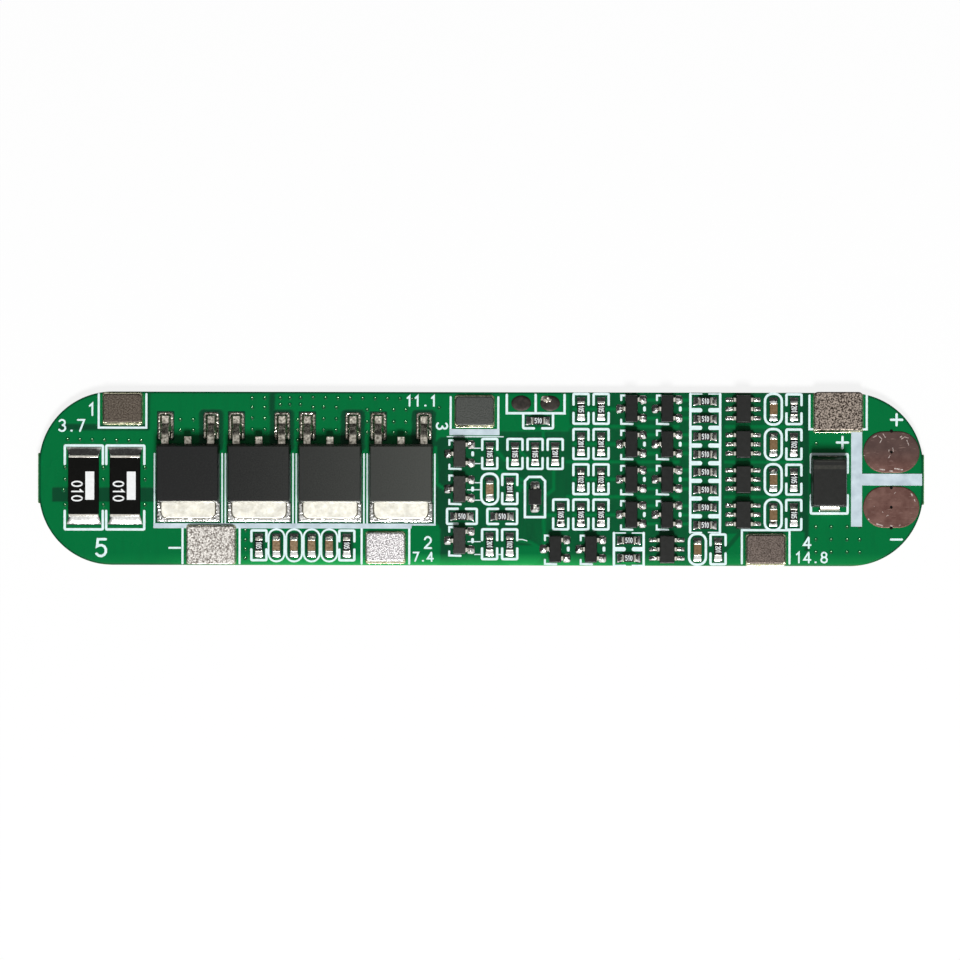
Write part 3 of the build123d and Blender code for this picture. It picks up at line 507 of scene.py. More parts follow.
tracks = [
    [(-4.72, 3.2), (-4.6, -0.5), (-3.7, -1.1)],
    [(0.9, 3.6), (1.65, 2.88), (2.48, 1.95), (3.4, 1.9)],
    [(1.4, 1.0), (2.6, 0.6), (3.5, 0.1), (4.3, -0.1)],
    [(3.8, -6.3), (5.0, -6.5), (5.8, -6.95), (6.3, -7.6)],
    [(3.5, 3.4), (4.65, 2.27), (5.2, 1.8)],
    [(6.46, 4.96), (6.46, 4.1)],
    [(7.55, 0.9), (7.55, -1.04), (6.72, -1.7), (6.1, -2.1)],
    [(6.5, -3.7), (6.5, -7.9)],
    [(6.4, -3.75), (8.6, -3.75)],
    [(2.6, -0.2), (3.5, -0.3), (4.0, -1.2)],
    [(1.7, 0.6), (3.6, -0.6), (4.8, -0.9)],
    [(0.8, -2.0), (0.8, -5.0)],
]
# The five cells' circuits repeat from row to row, so their tracks are worked out
grid_rows = np.unique(middles(monitor_boxes)[:4, 1].round(2))
first_column, second_column = np.unique(middles(transistor_boxes)[5:, 0].round(2))[:2]
for row in grid_rows:
    tracks.append([(9.6, row), (first_column - 1.2, row)])
    for start, end, sides in (
        (first_column + 1.2, second_column - 1.0, (-0.95, 0.95)),
        (second_column + 1.2, second_column + 3.2, (-0.95, 0, 0.95)),
    ):
        tracks += [[(start, row + side), (end, row + side)] for side in sides]
for row in (grid_rows[1:] + grid_rows[:-1]) / 2:
    tracks += [[(25.3, row), (33.2, row)], [(8.9, row), (20.4, row)]]


def area_distance(x, y, x0, y0, x1, y1, corner):
    """Distance to a rounded rectangle between two corners, negative inside it."""
    return -to_edge(x - (x0 + x1) / 2, y - (y0 + y1) / 2, (x1 - x0) / 2, (y1 - y0) / 2, corner)


def track_distance(x, y, points, width):
    """Distance to a track: to the nearest of its runs, less half its width."""
    nearest = np.inf
    for (x0, y0), (x1, y1) in zip(points, points[1:]):
        along_x, along_y = x1 - x0, y1 - y0
        share = ((x - x0) * along_x + (y - y0) * along_y) / (along_x**2 + along_y**2)
        share = np.clip(share, 0, 1)
        nearest = np.minimum(nearest, np.hypot(x - x0 - share * along_x, y - y0 - share * along_y))
    return nearest - width / 2


def copper_depth(x, y):
    """How deep points lie in copper: 1 well inside it, 0 well outside."""
    distance = np.min([area_distance(x, y, *area) for area in copper_areas], axis=0)
    gaps = [area_distance(x, y, *gap) for gap in copper_gaps]
    gaps.append(track_distance(x, y, DIAGONAL_GAP, DIAGONAL_WIDTH))
    for middle, flat in chip_places:
        half = CHIP_WELL[::-1] if flat else CHIP_WELL
        gaps.append(area_distance(x, y, *(middle - half), *(middle + half), WELL_CORNER))
    for low, high in power_leads:
        right = low[:, 0].argmax()
        corners = (*(low[right, :2] - LEAD_WELL[0]), *(high[right, :2] + LEAD_WELL[1]))
        gaps.append(area_distance(x, y, *corners, LEAD_WELL_CORNER))
    distance = np.maximum(distance, -np.min(gaps, axis=0))
    for points in tracks:
        distance = np.minimum(distance, track_distance(x, y, points, TRACK))
    return smooth(-distance, -COPPER_EDGE, COPPER_EDGE)


resistor_middles, capacitor_middles = middles(resistor_boxes)[:, :2], middles(capacitor_boxes)[:, :2]
chip_places = [*zip(resistor_middles, lying)] + [(middle, False) for middle in capacitor_middles]
print("tracks:", len(tracks))

# %% The mask
MASK_BARE, MASK_ON_COPPER, MASK_EDGE_SHEEN = (8, 68, 41), (0, 107, 55), (46, 190, 96)
MASK_THICKNESS = 0.06
MASK_COLUMNS, MASK_ROWS = 640, 126
BOARD_CORNER = 7.6
STUB_DEPTH = 0.12
EDGE_ROUND = 0.02

mask_finish, tree, shader = new_finish("solder_mask", Specular_IOR_Level=0.06)
on_copper = add_node(tree, "Attribute", attribute_name="copper").outputs["Fac"]
cloth = ranged(tree, grain(tree, 0.5, stretch=(1, 0.2, 1)), 0.3, 0.7, -0.1, 0.1)
green = mixed(tree, sum_of(tree, "ADD", on_copper, cloth, True), MASK_BARE, MASK_ON_COPPER)
# Painted sheen: along the board's lower edge the mask is painted paler, most of all in the middle,
# where it catches the lamp's glare
low_edge = ranged(tree, place_in(tree, "Y"), -7.7 * MM, -8.9 * MM)
left_part = ranged(tree, place_in(tree, "X"), -34 * MM, -20 * MM, 0.08, 0.6)
right_part = ranged(tree, place_in(tree, "X"), 8 * MM, 22 * MM, 1.0, 0.35)
# thin is how much of the painted sheen each point takes
thin = sum_of(tree, "MULTIPLY", low_edge, sum_of(tree, "MULTIPLY", left_part, right_part))
roughness = ranged(tree, grain(tree, 2.0), 0.3, 0.7, 0.2, 0.3)
dress(tree, shader, mixed(tree, thin, green, MASK_EDGE_SHEEN), grain(tree, 0.3), 0.004, roughness)

half_length, half_width = board_high[0] - STUB_DEPTH, board_high[1]


def mask_relief(x, y):
    """The mask lies lower beside copper, and turns down over the board's edge."""
    edge = to_edge(x, y, half_length, half_width, BOARD_CORNER)
    drop = EDGE_ROUND * (1 - np.sqrt(np.clip(edge / EDGE_ROUND, 0, 1)))
    return MASK_THICKNESS - COPPER_RELIEF * (1 - copper_depth(x, y)) - drop


underside = board_top - MASK_THICKNESS
mask_shape = plate(
    (0, 0), half_length, half_width, BOARD_CORNER, underside, mask_relief, MASK_COLUMNS, MASK_ROWS, 0.25
)
mask = add_piece("board_mask", mask_shape, mask_finish, "solder_mask")
# Copper on the underside shows faintly through the bare parts from x = -3 to x = 33
SEEN_THROUGH = 0.28
x, y = mask_shape[0][:, :2].T
seen_through = SEEN_THROUGH * smooth(x, -3.5, -2.5) * (1 - smooth(x, 32.6, 33.2))
copper_value = seen_through + (1 - seen_through) * copper_depth(x, y)
attribute = mask.data.attributes.new("copper", "FLOAT", "POINT")
attribute.data.foreach_set("value", copper_value.astype(np.float32))

# %% [markdown]
# ### The laminate
#
# Under the mask the cut edge shows glass cloth in layers. The core is one stack of rings, with the
# underside's mask as part of its finish: the shader takes the green film at the bottom and the
# layered edge above it. The two ends carry the stubs where the board was snapped from its panel,
# so their outer faces are rough.

# %% The core and its broken stubs
core_finish, tree, shader = new_finish("laminate", Specular_IOR_Level=0.3, Roughness=0.5)
height, layers = place_in(tree, "Z"), grain(tree, 0.5, stretch=(1, 1, 9))
edge_colour = mixed(tree, ranged(tree, layers, 0.35, 0.65), (118, 128, 62), (168, 170, 98))
film = mixed(tree, ranged(tree, height, 0.03 * MM, 0.04 * MM), (4, 96, 50), edge_colour)
base = mixed(tree, ranged(tree, height, 1.14 * MM, 1.15 * MM), film, (20, 120, 62))
dress(tree, shader, base, layers, 0.01)

core_box = (board_low[None] + [STUB_DEPTH, 0, 0], board_high[None] - [STUB_DEPTH, 0, MASK_THICKNESS])
core_shape = blocks(core_box, BOARD_CORNER - 0.01, 0.01, steps=40, profile=((0.04, 0), (0, 0.04)))
STUB_HALF = 2.6
STUB_ROUGH, STUB_GRAIN = 0.03, 0.25


def stub(side):
    """Rough broken face: a plate stood on end, its height running outwards along X."""
    def relief(y, z):
        edge = to_edge(y, z, STUB_HALF, board_top / 2, 0.1)
        rough = STUB_ROUGH * np.abs(ripples(y, z, STUB_GRAIN, 5))
        return STUB_DEPTH + 0.02 - 0.05 * (1 - smooth(edge, 0, 0.15)) - rough

    points, quads, caps = plate(
        (0, board_top / 2), STUB_HALF, board_top / 2, 0.1, half_length - 0.02, relief, 90, 20
    )
    return points[:, [2, 0, 1]] * [side, side, 1], quads, caps


add_piece("board_core", [core_shape, stub(1), stub(-1)], core_finish, "solder_mask", "circuit_board")

# %% [markdown]
# ## Vias
#
# Small plated holes tie the copper on the two faces together. The mask runs over their rims, so
# each is a low mound with a bowl in its middle that catches the light. They stand in rows about a
# millimetre apart round the power transistors and beside the shunts.

# %% Mounds and bowls in rows
VIA_RADIUS, VIA_HOLE, VIA_HEIGHT = 0.27, 0.11, 0.04


def grid_of(xs, ys):
    """Points at every crossing of some columns and rows."""
    return np.stack(np.meshgrid(xs, ys), axis=-1).reshape(-1, 2)


via_places = np.concatenate([
    np.linspace((-42.8, 4.04), (-35.2, 3.9), 7),
    grid_of((-43.06, -39.1, -34.8), (1.1, -0.1, -2.75)),
    grid_of((-31.15, -29.8), (6.1, 5.0)),
    grid_of((-23.7, -22.4), (8.34, 7.36, 6.25, 5.1)),
    grid_of((-20.8, -19.8, -18.7), (8.37, 7.67)),
    np.linspace((-17.4, 8.4), (-7.13, 8.28), 9),
    grid_of((-17.4, -16.3, -15.0), (7.38, 6.2, 5.05)),
    grid_of((-11.8, -9.05, -7.8), (7.15, 5.9, 4.8)),
    np.linspace((-18.98, 6.1), (-19.0, 4.0), 3),
    np.linspace((-24.38, -5.35), (-24.38, -8.25), 4),
    grid_of((34.67, 36.25, 37.9, 39.2), (-4.9, -6.2, -7.5)),
    [(34.7, 3.75), (-10.4, 7.1), (-4.35, 7.36), (-43.2, -1.2)],
])
mound_radii = (VIA_RADIUS, 0.8 * VIA_RADIUS, 1.3 * VIA_HOLE, VIA_HOLE, 0.5 * VIA_HOLE)
mound_heights = (-0.02, 0.3 * VIA_HEIGHT, 0.9 * VIA_HEIGHT, VIA_HEIGHT, 0)
mound_finish = mottled("via_mound", (0, 76, 42), (2, 96, 50), 0.2, 0.3, (0.2, 0.3), Specular_IOR_Level=0.1)
add_piece("via_mounds", rings_round(via_places, mound_radii, mound_heights, 3), mound_finish, "solder_mask")
bowl_radii = np.array([1.0, 0.9, 0.75, 0.45, 0.2]) * VIA_HOLE
bowl_heights = np.array([0.2, 1.1, 0.7, 0.35, 0.25]) * VIA_HEIGHT
bowl_finish = mottled("via_tin", (92, 140, 100), (160, 196, 156), 0.9, 0.5, (0.2, 0.3), Metallic=1.0)
add_piece("via_bowls", rings_round(via_places, bowl_radii, bowl_heights, 4), bowl_finish, "bare_copper")

# %% [markdown]
# ## White print
#
# Frames, brackets, bars and figures are ink pushed through a screen. The art is drawn as strokes
# of one width with round ends, so each is a flat ribbon carried along its stroke: a U on either
# side of a chip, a closed oval round a capacitor, two brackets beside a transistor. Broad bars are
# low blocks of thicker ink. Ribbons come out smoother than the CAD's straight edged frames, which
# they replace. Only plain figures and signs stand beside the tabs. A few thin white lines along
# track edges are painted highlights, where the copper's edges catch the lamp; they are drawn as
# strokes of the same white.

# %% Inks and strokes
ink_and_highlight_finish = mottled("white_ink", (205, 228, 230), (228, 246, 246), 0.35, 0.5, (0.5, 0.7), 0.004, 0.15)
bar_finish = mottled("thick_ink", (172, 188, 198), (204, 220, 228), 1.3, 0.4, (0.5, 0.7), 0.004, 0.2)
INK_LOW, INK_HIGH = board_top - 0.01, board_top + 0.03
LINE, THIN_LINE = 0.25, 0.19


def arc(x, y, radius_x, radius_y, start, end, steps=9):
    """Points of an arc: the middle plus the radii times the cosine and sine, in degrees."""
    turn = np.radians(np.linspace(start, end, steps))
    return np.stack([x + radius_x * np.cos(turn), y + radius_y * np.sin(turn)], axis=-1)


def stroke(path, width, low=INK_LOW, high=INK_HIGH, closed=False):
    """Flat ribbon along a path, closed or with round ends.

    At each point the sides lie along (n1 + n2) / (1 + n1 · n2), where n1 and n2 are the normals
    of the runs before and after it. Past an open end the ribbon narrows as a half circle does.
    """
    path = np.array(path, dtype=float)
    runs = np.diff(np.vstack([path, path[:1]]) if closed else path, axis=0)
    runs /= np.linalg.norm(runs, axis=1, keepdims=True)
    before = np.roll(runs, 1, axis=0) if closed else np.vstack([runs[:1], runs])
    after = runs if closed else np.vstack([runs, runs[-1:]])
    normal_1, normal_2 = (run[:, ::-1] * [-1, 1] for run in (before, after))
    side = (normal_1 + normal_2) / (1 + (normal_1 * normal_2).sum(axis=1, keepdims=True))
    if not closed:
        ends = np.radians([20, 50, 75])
        past, half = width / 2 * np.cos(ends)[:, None], np.sin(ends)[:, None]
        path = np.vstack([path[0] - past * runs[0], path, path[-1] + past[::-1] * runs[-1]])
        side = np.vstack([half * side[0], side, half[::-1] * side[-1]])
    left, right = path - width / 2 * side, path + width / 2 * side
    corners = [lifted(left, low), lifted(right, low), lifted(right, high), lifted(left, high)]
    return ring_stack(np.stack(corners, axis=1)[None], closed)


def laid_over(shapes):
    """Shapes, each a few thousandths higher or lower, so two that cross share no face.

    The step is a share of the golden section, which keeps neighbours in the list well apart.
    """
    for number, (points, _, _) in enumerate(shapes):
        points[:, 2] += 0.012 * (0.618 * number % 1)
    return shapes


def two_halves(middle, half_x, half_y, opening, turned=False):
    """Two strokes that face each other round a chip, open in the middle of its long sides."""
    upper = np.vstack([[[half_x, opening]], outline(half_x, half_y, 0.1, 3)[:6], [[-half_x, opening]]])
    halves = [upper[:, ::-1], -upper[:, ::-1]] if turned else [upper, -upper]
    return [stroke(half + middle, LINE) for half in halves]


print("inks ready")

# %% Frames, ovals, brackets and painted track highlights
# Half sizes of the frames' centre lines round each kind of component, and their opening or corner
CHIP_FRAME, SHUNT_FRAME, CLAMP_FRAME = (0.78, 1.54, 0.43), (1.97, 4.34, 2.43), (1.9, 3.07, 1.18)
WIDE_OVAL, NARROW_OVAL = (0.87, 1.59, 0.74), (0.82, 1.66, 0.78)
LADDER_HALF, LADDER_STEP, LADDER_GAP, LADDER_INNER = 1.54, 0.76, 0.52, 0.35

# Resistors that lie one above the other share a frame like a ladder
column, members = np.unique(resistor_middles[:, 0].round(1), return_inverse=True)
in_ladder = lying & (np.bincount(members[lying], minlength=len(column))[members] > 1)
framed = [(middle, CHIP_FRAME, False) for middle in resistor_middles[~lying]]
framed += [(middle, CHIP_FRAME, True) for middle in resistor_middles[lying & ~in_ladder]]
shapes = []
for middle, size, turned in framed:
    shapes += two_halves(middle, *size, turned)
for middle in capacitor_middles:
    narrow = middle[0] < -10
    oval = outline(*(NARROW_OVAL if narrow else WIDE_OVAL), 6) + middle
    shapes.append(stroke(oval, THIN_LINE if narrow else LINE, closed=True))
for station in np.unique(members[in_ladder]):
    rungs = resistor_middles[in_ladder & (members == station)]
    x, y = rungs[0, 0], np.sort(rungs[:, 1])
    low, high = y[0] - LADDER_STEP, y[-1] + LADDER_STEP
    for side in (-1, 1):
        rail, inner = x + side * LADDER_HALF, x + side * LADDER_INNER
        shapes.append(stroke([(rail, low), (rail, high)], LINE))
        shapes += [stroke([(rail, end), (inner, end)], 0.12) for end in (low, high)]
        for rung in (y[1:] + y[:-1]) / 2:
            ends = [(x + side * (LADDER_HALF - 0.12), rung), (x + side * LADDER_GAP, rung)]
            shapes.append(stroke(ends, 0.44))
transistor_marks = [
    ([(-1.05, 0.92), (-1.05, 1.39), (-0.66, 1.39)], 0.21),
    ([(-1.05, -1.12), (-1.05, -1.54), (0.13, -1.58)], 0.21),
    ([(1.36, 0.12), (1.36, -0.12)], 0.3),
]
for middle in middles(transistor_boxes)[:, :2]:
    shapes += [stroke(middle + path, width) for path, width in transistor_marks]
for x, y, size in ((-41.12, -0.965, SHUNT_FRAME), (-36.83, -0.965, SHUNT_FRAME), (36.05, -0.45, CLAMP_FRAME)):
    shapes += two_halves(np.array([x, y]), *size)
diode_frame = [(-1.04, -2.08), (1.04, -2.08), (1.04, 1.66), (0.62, 2.08), (-0.62, 2.08), (-1.04, 1.66)]
shapes.append(stroke(np.array([5.585, -1.87]) + diode_frame, LINE, closed=True))
shapes += [
    stroke(path, LINE)
    for path in ([(2.65, 8.7), (2.65, 6.8), (8.63, 6.8), (8.63, 8.7)], [(5.64, 6.9), (5.64, 8.7)])
]
for middle in middles(power_boxes)[:, 0]:
    shapes += [stroke([(middle + side, 2.55), (middle + side, -4.7)], 0.16) for side in (-3.5, 3.5)]

# Frames that open towards the board's edge, and painted highlights: thin white lines along the
# lower edges of tracks beside the middle transistors, where the copper's edges catch the lamp
edge_frames = [
    [(-39.59, 8.7), (-39.59, 5.23), (-34.66, 5.23), (-34.66, 8.7)],
    *([(x, -8.8), (x, -5.1)] for x in (-30.89, -24.98, -12.35, -7.42)),
    *([(x, 8.45), (x, 5.1)] for x in (-3.16, 1.77)),
    [(27.01, -8.7), (27.01, -5.26), (31.94, -5.26), (31.94, -8.7)],
    [(33.98, 8.7), (33.98, 5.2), (34.3, 5.2)], [(39.91, 8.7), (39.91, 5.2), (39.6, 5.2)],
]
# Painted highlights along track edges: the left end, right end and height of each level run
highlight_runs = [
    (-3.5, 2.3, 4.36), (-0.82, -0.08, 3.17), (-0.82, -0.1, 1.58), (-0.64, -0.08, -0.4),
    (-1.4, -0.08, -1.13), (-0.64, -0.08, -2.21), (-1.35, -0.08, -6.5), (-0.64, -0.08, -7.83),
    (1.72, 2.06, -7.83),
]
track_edge_highlights = [[(left, y), (right, y)] for left, right, y in highlight_runs]
track_edge_highlights.append([(3.7, -6.26), (4.3, -6.27), (4.75, -6.4)])
for paths, width in ((edge_frames, 0.22), (track_edge_highlights, 0.1)):
    shapes += [stroke(path, width) for path in paths]
add_piece("printed_frames", laid_over(shapes), ink_and_highlight_finish, "white_ink", "white_print")

# %% Broad bars
# Left, low, right and high edge of each. Their heights differ a little because some cross
bars = np.array([
    (-33.91, -5.17, -7.18, -4.65), (-7.3, -4.85, -4.68, -4.65), (-3.29, 4.51, 1.9, 5.16),
    (38.3, -4.87, 39.44, 5.02), (39.3, -0.61, 45.65, 0.61),
])
bar_heights = INK_HIGH + 0.014 + 0.003 * np.arange(len(bars))[:, None]
bar_boxes = lifted(bars[:, :2], INK_LOW), lifted(bars[:, 2:], bar_heights)
add_piece("printed_bars", blocks(bar_boxes, 0.03, 0.01), bar_finish, "white_ink")

# %% Figures
# Each figure is a list of strokes in a box one high, laid out one by one
figures = {
    "0": [arc(0.3, 0.5, 0.28, 0.5, 90, 432, 17)],
    "1": [[(0.12, 0.8), (0.34, 1.0), (0.34, 0.0)]],
    "2": [[*arc(0.3, 0.7, 0.28, 0.3, 165, -35), (0.05, 0.03)], [(0.02, 0.0), (0.6, 0.0)]],
    "3": [arc(0.28, 0.76, 0.26, 0.24, 150, -80), arc(0.28, 0.26, 0.3, 0.27, 80, -150)],
    "4": [[(0.45, 1.0), (0.0, 0.28), (0.64, 0.28)], [(0.47, 0.9), (0.47, 0.0)]],
    "5": [[(0.56, 1.0), (0.1, 1.0), (0.05, 0.58), *arc(0.27, 0.33, 0.31, 0.33, 110, -145)]],
    "7": [[(0.02, 1.0), (0.6, 1.0), (0.22, 0.0)]],
    "8": [arc(0.3, 0.76, 0.24, 0.24, 90, 420, 13), arc(0.3, 0.26, 0.29, 0.26, 90, 420, 13)],
    ".": [[(0.27, 0.03), (0.33, 0.03)]],
    "+": [[(0.0, 0.5), (0.66, 0.5)], [(0.33, 0.83), (0.33, 0.56)], [(0.33, 0.44), (0.33, 0.17)]],
    "-": [[(0.0, 0.5), (0.66, 0.5)]],
}
FIGURE_PITCH, FIGURE_WIDTH = 0.84, 0.6


def write(text, middle, tall, width, turn=0, squeeze=1.0, low=INK_LOW, high=INK_HIGH):
    """Figures centred on a point, as a list of strokes, turned by some degrees."""
    cosine, sine = np.cos(np.radians(turn)), np.sin(np.radians(turn))
    spin = np.array([[cosine, sine], [-sine, cosine]])
    start = -((len(text) - 1) * FIGURE_PITCH + FIGURE_WIDTH) / 2
    made = []
    for place, figure in enumerate(text):
        for path in figures[figure]:
            local = (np.array(path) + [start + place * FIGURE_PITCH, -0.5]) * tall * [squeeze, 1]
            made.append(stroke(local @ spin + middle, width, low, high))
    return made


# Text, middle, height, width of the line, and turn where there is one
legends = [
    ("1", (-40.3, 7.12), 1.2, 0.19), ("3.7", (-42.4, 5.45), 1.15, 0.19), ("5", (-39.3, -7.2), 1.75, 0.26),
    ("-", (-31.75, -7.2), 1.75, 0.2), ("11.1", (-6.2, 8.05), 1.0, 0.19), ("3", (-4.05, 5.45), 1.1, 0.19, -90),
    ("2", (-5.5, -6.6), 1.15, 0.19), ("7.4", (-6.0, -8.08), 0.88, 0.17), ("+", (37.35, 3.83), 1.75, 0.24),
    ("+", (42.95, 6.2), 1.75, 0.24), ("-", (42.95, -6.2), 1.75, 0.22), ("4", (33.75, -6.55), 1.1, 0.19),
    ("14.8", (34.2, -8.08), 1.05, 0.17),
]
strokes = [made for legend in legends for made in write(*legend)]
add_piece("printed_figures", laid_over(strokes), ink_and_highlight_finish, "white_ink")

# %% [markdown]
# ## Openings in the mask
#
# The mask stops a tenth of a millimetre short of every soldered pad, so bare dark resin shows
# between the two. A thin dark block under each pad, a little larger than the CAD's solder, gives
# that line without a hole in the mask's grid.

# %% Bare resin round the pads
solder_nodes = [name + "_solder" for name in ("power_transistor", "chip", "shunt", "clamp_diode", "lead")]
opening_boxes = grown(solids_of_all(solder_nodes), 0.11, 0.11, 0, 0)
for corner, height in zip(opening_boxes, (board_top - 0.02, board_top + 0.004)):
    corner[:, 2] = height
bare_resin = mottled("bare_resin", (0, 50, 32), (6, 66, 42), 0.2, 0.5, (0.4, 0.5), Specular_IOR_Level=0.06)
add_piece("mask_openings", blocks(opening_boxes, 0.1, 0.002), bare_resin, "solder_mask")

# %% [markdown]
# ## Weld tabs
#
# Nickel plated strips are soldered down flat, ready for the leads to the cells. Their upper sides
# are blasted, some fine and some coarse. Bump alone would look smooth at the edge, so the grain is
# in the grid: a field of ripples a few tenths of a millimetre long, with the edge turned down.

# %% Nickel finishes and the tabs
TAB_CORNER, TAB_EDGE = 0.4, 0.12


def nickel(name, low, high, size, contrast, bump):
    """Blasted nickel: two tones in fine specks, the same specks as bumps."""
    material, tree, shader = new_finish(name, Metallic=1.0, Roughness=0.46)
    specks = grain(tree, size, 2.0)
    factor = ranged(tree, specks, 0.5 - contrast / 2, 0.5 + contrast / 2)
    dress(tree, shader, mixed(tree, factor, low, high), specks, bump)
    return material


# Each tab's finish, then the depth and the length of its ripples
tab_looks = {
    "cell_tab_1": (nickel("nickel_fine", (58, 51, 45), (110, 101, 91), 0.13, 0.3, 0.006), 0.002, 0.16),
    "cell_tab_2": (nickel("nickel_pale", (106, 102, 104), (240, 237, 237), 0.12, 0.24, 0.01), 0.006, 0.2),
    "cell_tab_3": (nickel("nickel_grey", (54, 56, 53), (88, 90, 87), 0.1, 0.3, 0.003), 0.001, 0.14),
    "cell_tab_4": (nickel("nickel_dark", (54, 47, 43), (116, 105, 98), 0.12, 0.3, 0.008), 0.002, 0.16),
    "battery_negative_tab": (
        nickel("nickel_silver", (112, 106, 100), (216, 212, 206), 0.16, 0.24, 0.012), 0.006, 0.22
    ),
    "battery_positive_tab": (
        nickel("nickel_coarse", (40, 33, 28), (160, 148, 137), 0.15, 0.22, 0.012), 0.006, 0.22
    ),
}
for seed, (name, (finish, depth, size)) in enumerate(tab_looks.items()):
    low, high = box_of(name)
    half, thickness = (high - low)[:2] / 2, (high - low)[2]

    def tab_relief(x, y):
        """Blasted ripples, and an edge that turns down along a quarter circle."""
        edge = np.clip(to_edge(x, y, *half, TAB_CORNER) / TAB_EDGE, 0, 1)
        turned_down = TAB_EDGE * (1 - np.sqrt(1 - (1 - edge) ** 2))
        return thickness - turned_down - depth * (1 + ripples(x, y, size, seed)) / 2

    shape = plate((low + high)[:2] / 2, *half, TAB_CORNER, low[2], tab_relief, 86, 66, 0.4)
    add_piece(name + "_strip", shape, finish, "nickel_strip", name)

# %% [markdown]
# ## Solder
#
# Solder that has flowed meets metal in a hollow curve and the pad in a thin edge. A pool round a
# foot is a plate whose height falls with the distance to the foot. On a small pad it stands as a
# low uneven dome. Fresh solder is bright; where flux has burnt onto it, it is stained.

# %% Solder and tin finishes
def metal(name, low, high, size, rough, bump, bump_size, contrast=0.4):
    """A mottled finish of metal."""
    return mottled(name, low, high, size, contrast, rough, bump, bump_size, Metallic=1.0)


solder_finish = metal("solder", (196, 194, 192), (236, 236, 232), 0.2, (0.12, 0.26), 0.008, 0.14)
dull_solder = metal("dull_solder", (88, 80, 64), (238, 232, 218), 0.2, (0.16, 0.34), 0.01, 0.16)
stained = metal("stained_solder", (146, 146, 100), (240, 236, 212), 0.2, (0.14, 0.3), 0.01, 0.16)
tin_finish = metal("tin", (206, 201, 190), (238, 234, 224), 0.3, (0.2, 0.3), 0.003, 0.2, 0.5)
lead_tin = metal("lead_tin", (104, 100, 88), (228, 222, 208), 0.24, (0.25, 0.4), 0.01, 0.16)
tab_finish = metal("heat_tab", (228, 224, 208), (252, 250, 240), 0.3, (0.28, 0.4), 0.003, 0.3, 0.5)
MENISCUS = 0.13
HOLLOW_REACH = 0.2
# A bump of solder beside a power lead's foot: where from the pad's middle, how high, how wide and
# how many times longer
SWELLING_PLACE, SWELLING, SWELLING_REACH, SWELLING_STRETCH = (0.5, -0.5), 0.18, 0.2, 1.6


def from_box(x, y, low, high, corner=0.0):
    """How far points lie outside a box's plan, whose corners may be round."""
    return np.maximum(area_distance(x, y, *low[:2], *high[:2], corner), 0)


def pool(pad, foot, corner, film, climb, seed, columns, rows, foot_corner=0.0, hollow=0.0):
    """Solder on a pad, drawn up to a foot: film + climb · exp(-d / MENISCUS).

    d is the distance to the foot. A steeper hollow of (1 - d / HOLLOW_REACH)^1.5 may be added to
    it, and with it a round swelling beside the foot.
    """
    middle, half = (pad[0] + pad[1])[:2] / 2, (pad[1] - pad[0])[:2] / 2

    def relief(x, y):
        distance = from_box(x + middle[0], y + middle[1], *foot, foot_corner)
        near = climb * np.exp(-distance / MENISCUS)
        if hollow:
            near = near + hollow * np.maximum(1 - distance / HOLLOW_REACH, 0) ** 1.5
            up = (y - SWELLING_PLACE[1]) / SWELLING_STRETCH
            away = np.hypot(x - SWELLING_PLACE[0], up) / SWELLING_REACH
            near = near + SWELLING * np.exp(-(away**2))
        edge = smooth(to_edge(x, y, *half, corner), 0, 0.1)
        return 0.03 + edge * (film + near + 0.012 * ripples(x, y, 0.3, seed))

    return plate(middle, *half, corner, pad[0][2] - 0.02, relief, columns, rows)


def blob(middle, half, height, foot, climb, seed, count=15):
    """Domed solder on a small pad: height · (1 - r²)^0.7, a little higher near the lead.

    r is the fourth root of (x / half width)⁴ + (y / half length)⁴, so it is 1 along the edge.
    """
    def relief(x, y):
        share = ((x / half[0]) ** 4 + (y / half[1]) ** 4) ** 0.25
        dome = np.maximum(1 - share**2, 0) ** 0.7
        near = np.exp(-from_box(x + middle[0], y + middle[1], *foot) / MENISCUS)
        return 0.015 + dome * (height + climb * near + 0.03 * ripples(x, y, 0.34, seed))

    return plate(middle, *half, 0.8 * min(half), board_top - 0.01, relief, count, count)


print("solder ready")

# %% [markdown]
# ## Power transistors
#
# Each is a copper frame with a moulded body closed round it. The frame's heat tab lies flat and
# carries the current, the middle lead is cut off short, and the outer two are formed down to the
# board like gull wings. The leads are strips carried along a path whose slope is a smooth step,
# so they keep one thickness through both bends.

# %% Formed leads and heat tabs
LEAD_WIDTH, LEAD_THICKNESS, CUT_EDGE = 0.78, 0.5, 0.06
LEAD_SHOULDER, LEAD_FOOT, STUB_REACH = 0.85, 0.72, 0.72
TAB_CHAMFER = 0.65
TAB_UNDER_BODY = 1.5

rear = np.array([[0.0, 1.0]])
tabs, leads = [], []
for (tab_low, tab_high), boxes, body_high in zip(heat_tabs, power_leads, power_boxes[1]):
    hidden_edge = body_high[1] - TAB_UNDER_BODY
    tab_top = [tab_high[0], hidden_edge, tab_low[2] + LEAD_THICKNESS]
    tabs.append(block(tab_low, tab_top, TAB_CHAMFER - CUT_EDGE, CUT_EDGE, 4))
    level = tab_high[2] - LEAD_THICKNESS / 2 - board_top
    formed = [((tab_low[0] + tab_high[0]) / 2, [(-0.4, level), (0.4, level), (STUB_REACH, level)])]
    for low, high in zip(*boxes):
        reach = high[1] - body_high[1]
        path = gull_path(-0.4, LEAD_SHOULDER, reach - LEAD_FOOT, reach, level, LEAD_THICKNESS / 2, 13)
        formed.append(((low[0] + high[0]) / 2, path))
    for x, path in formed:
        start = np.array([[x, body_high[1], board_top]])
        leads.append(carried(start, rear, *strip(path, LEAD_WIDTH, LEAD_THICKNESS, CUT_EDGE)))
add_piece("power_transistor_tabs", tabs, tab_finish, "tinned_metal", *frame_names)
add_piece("power_transistor_leads", leads, lead_tin, "tinned_metal")
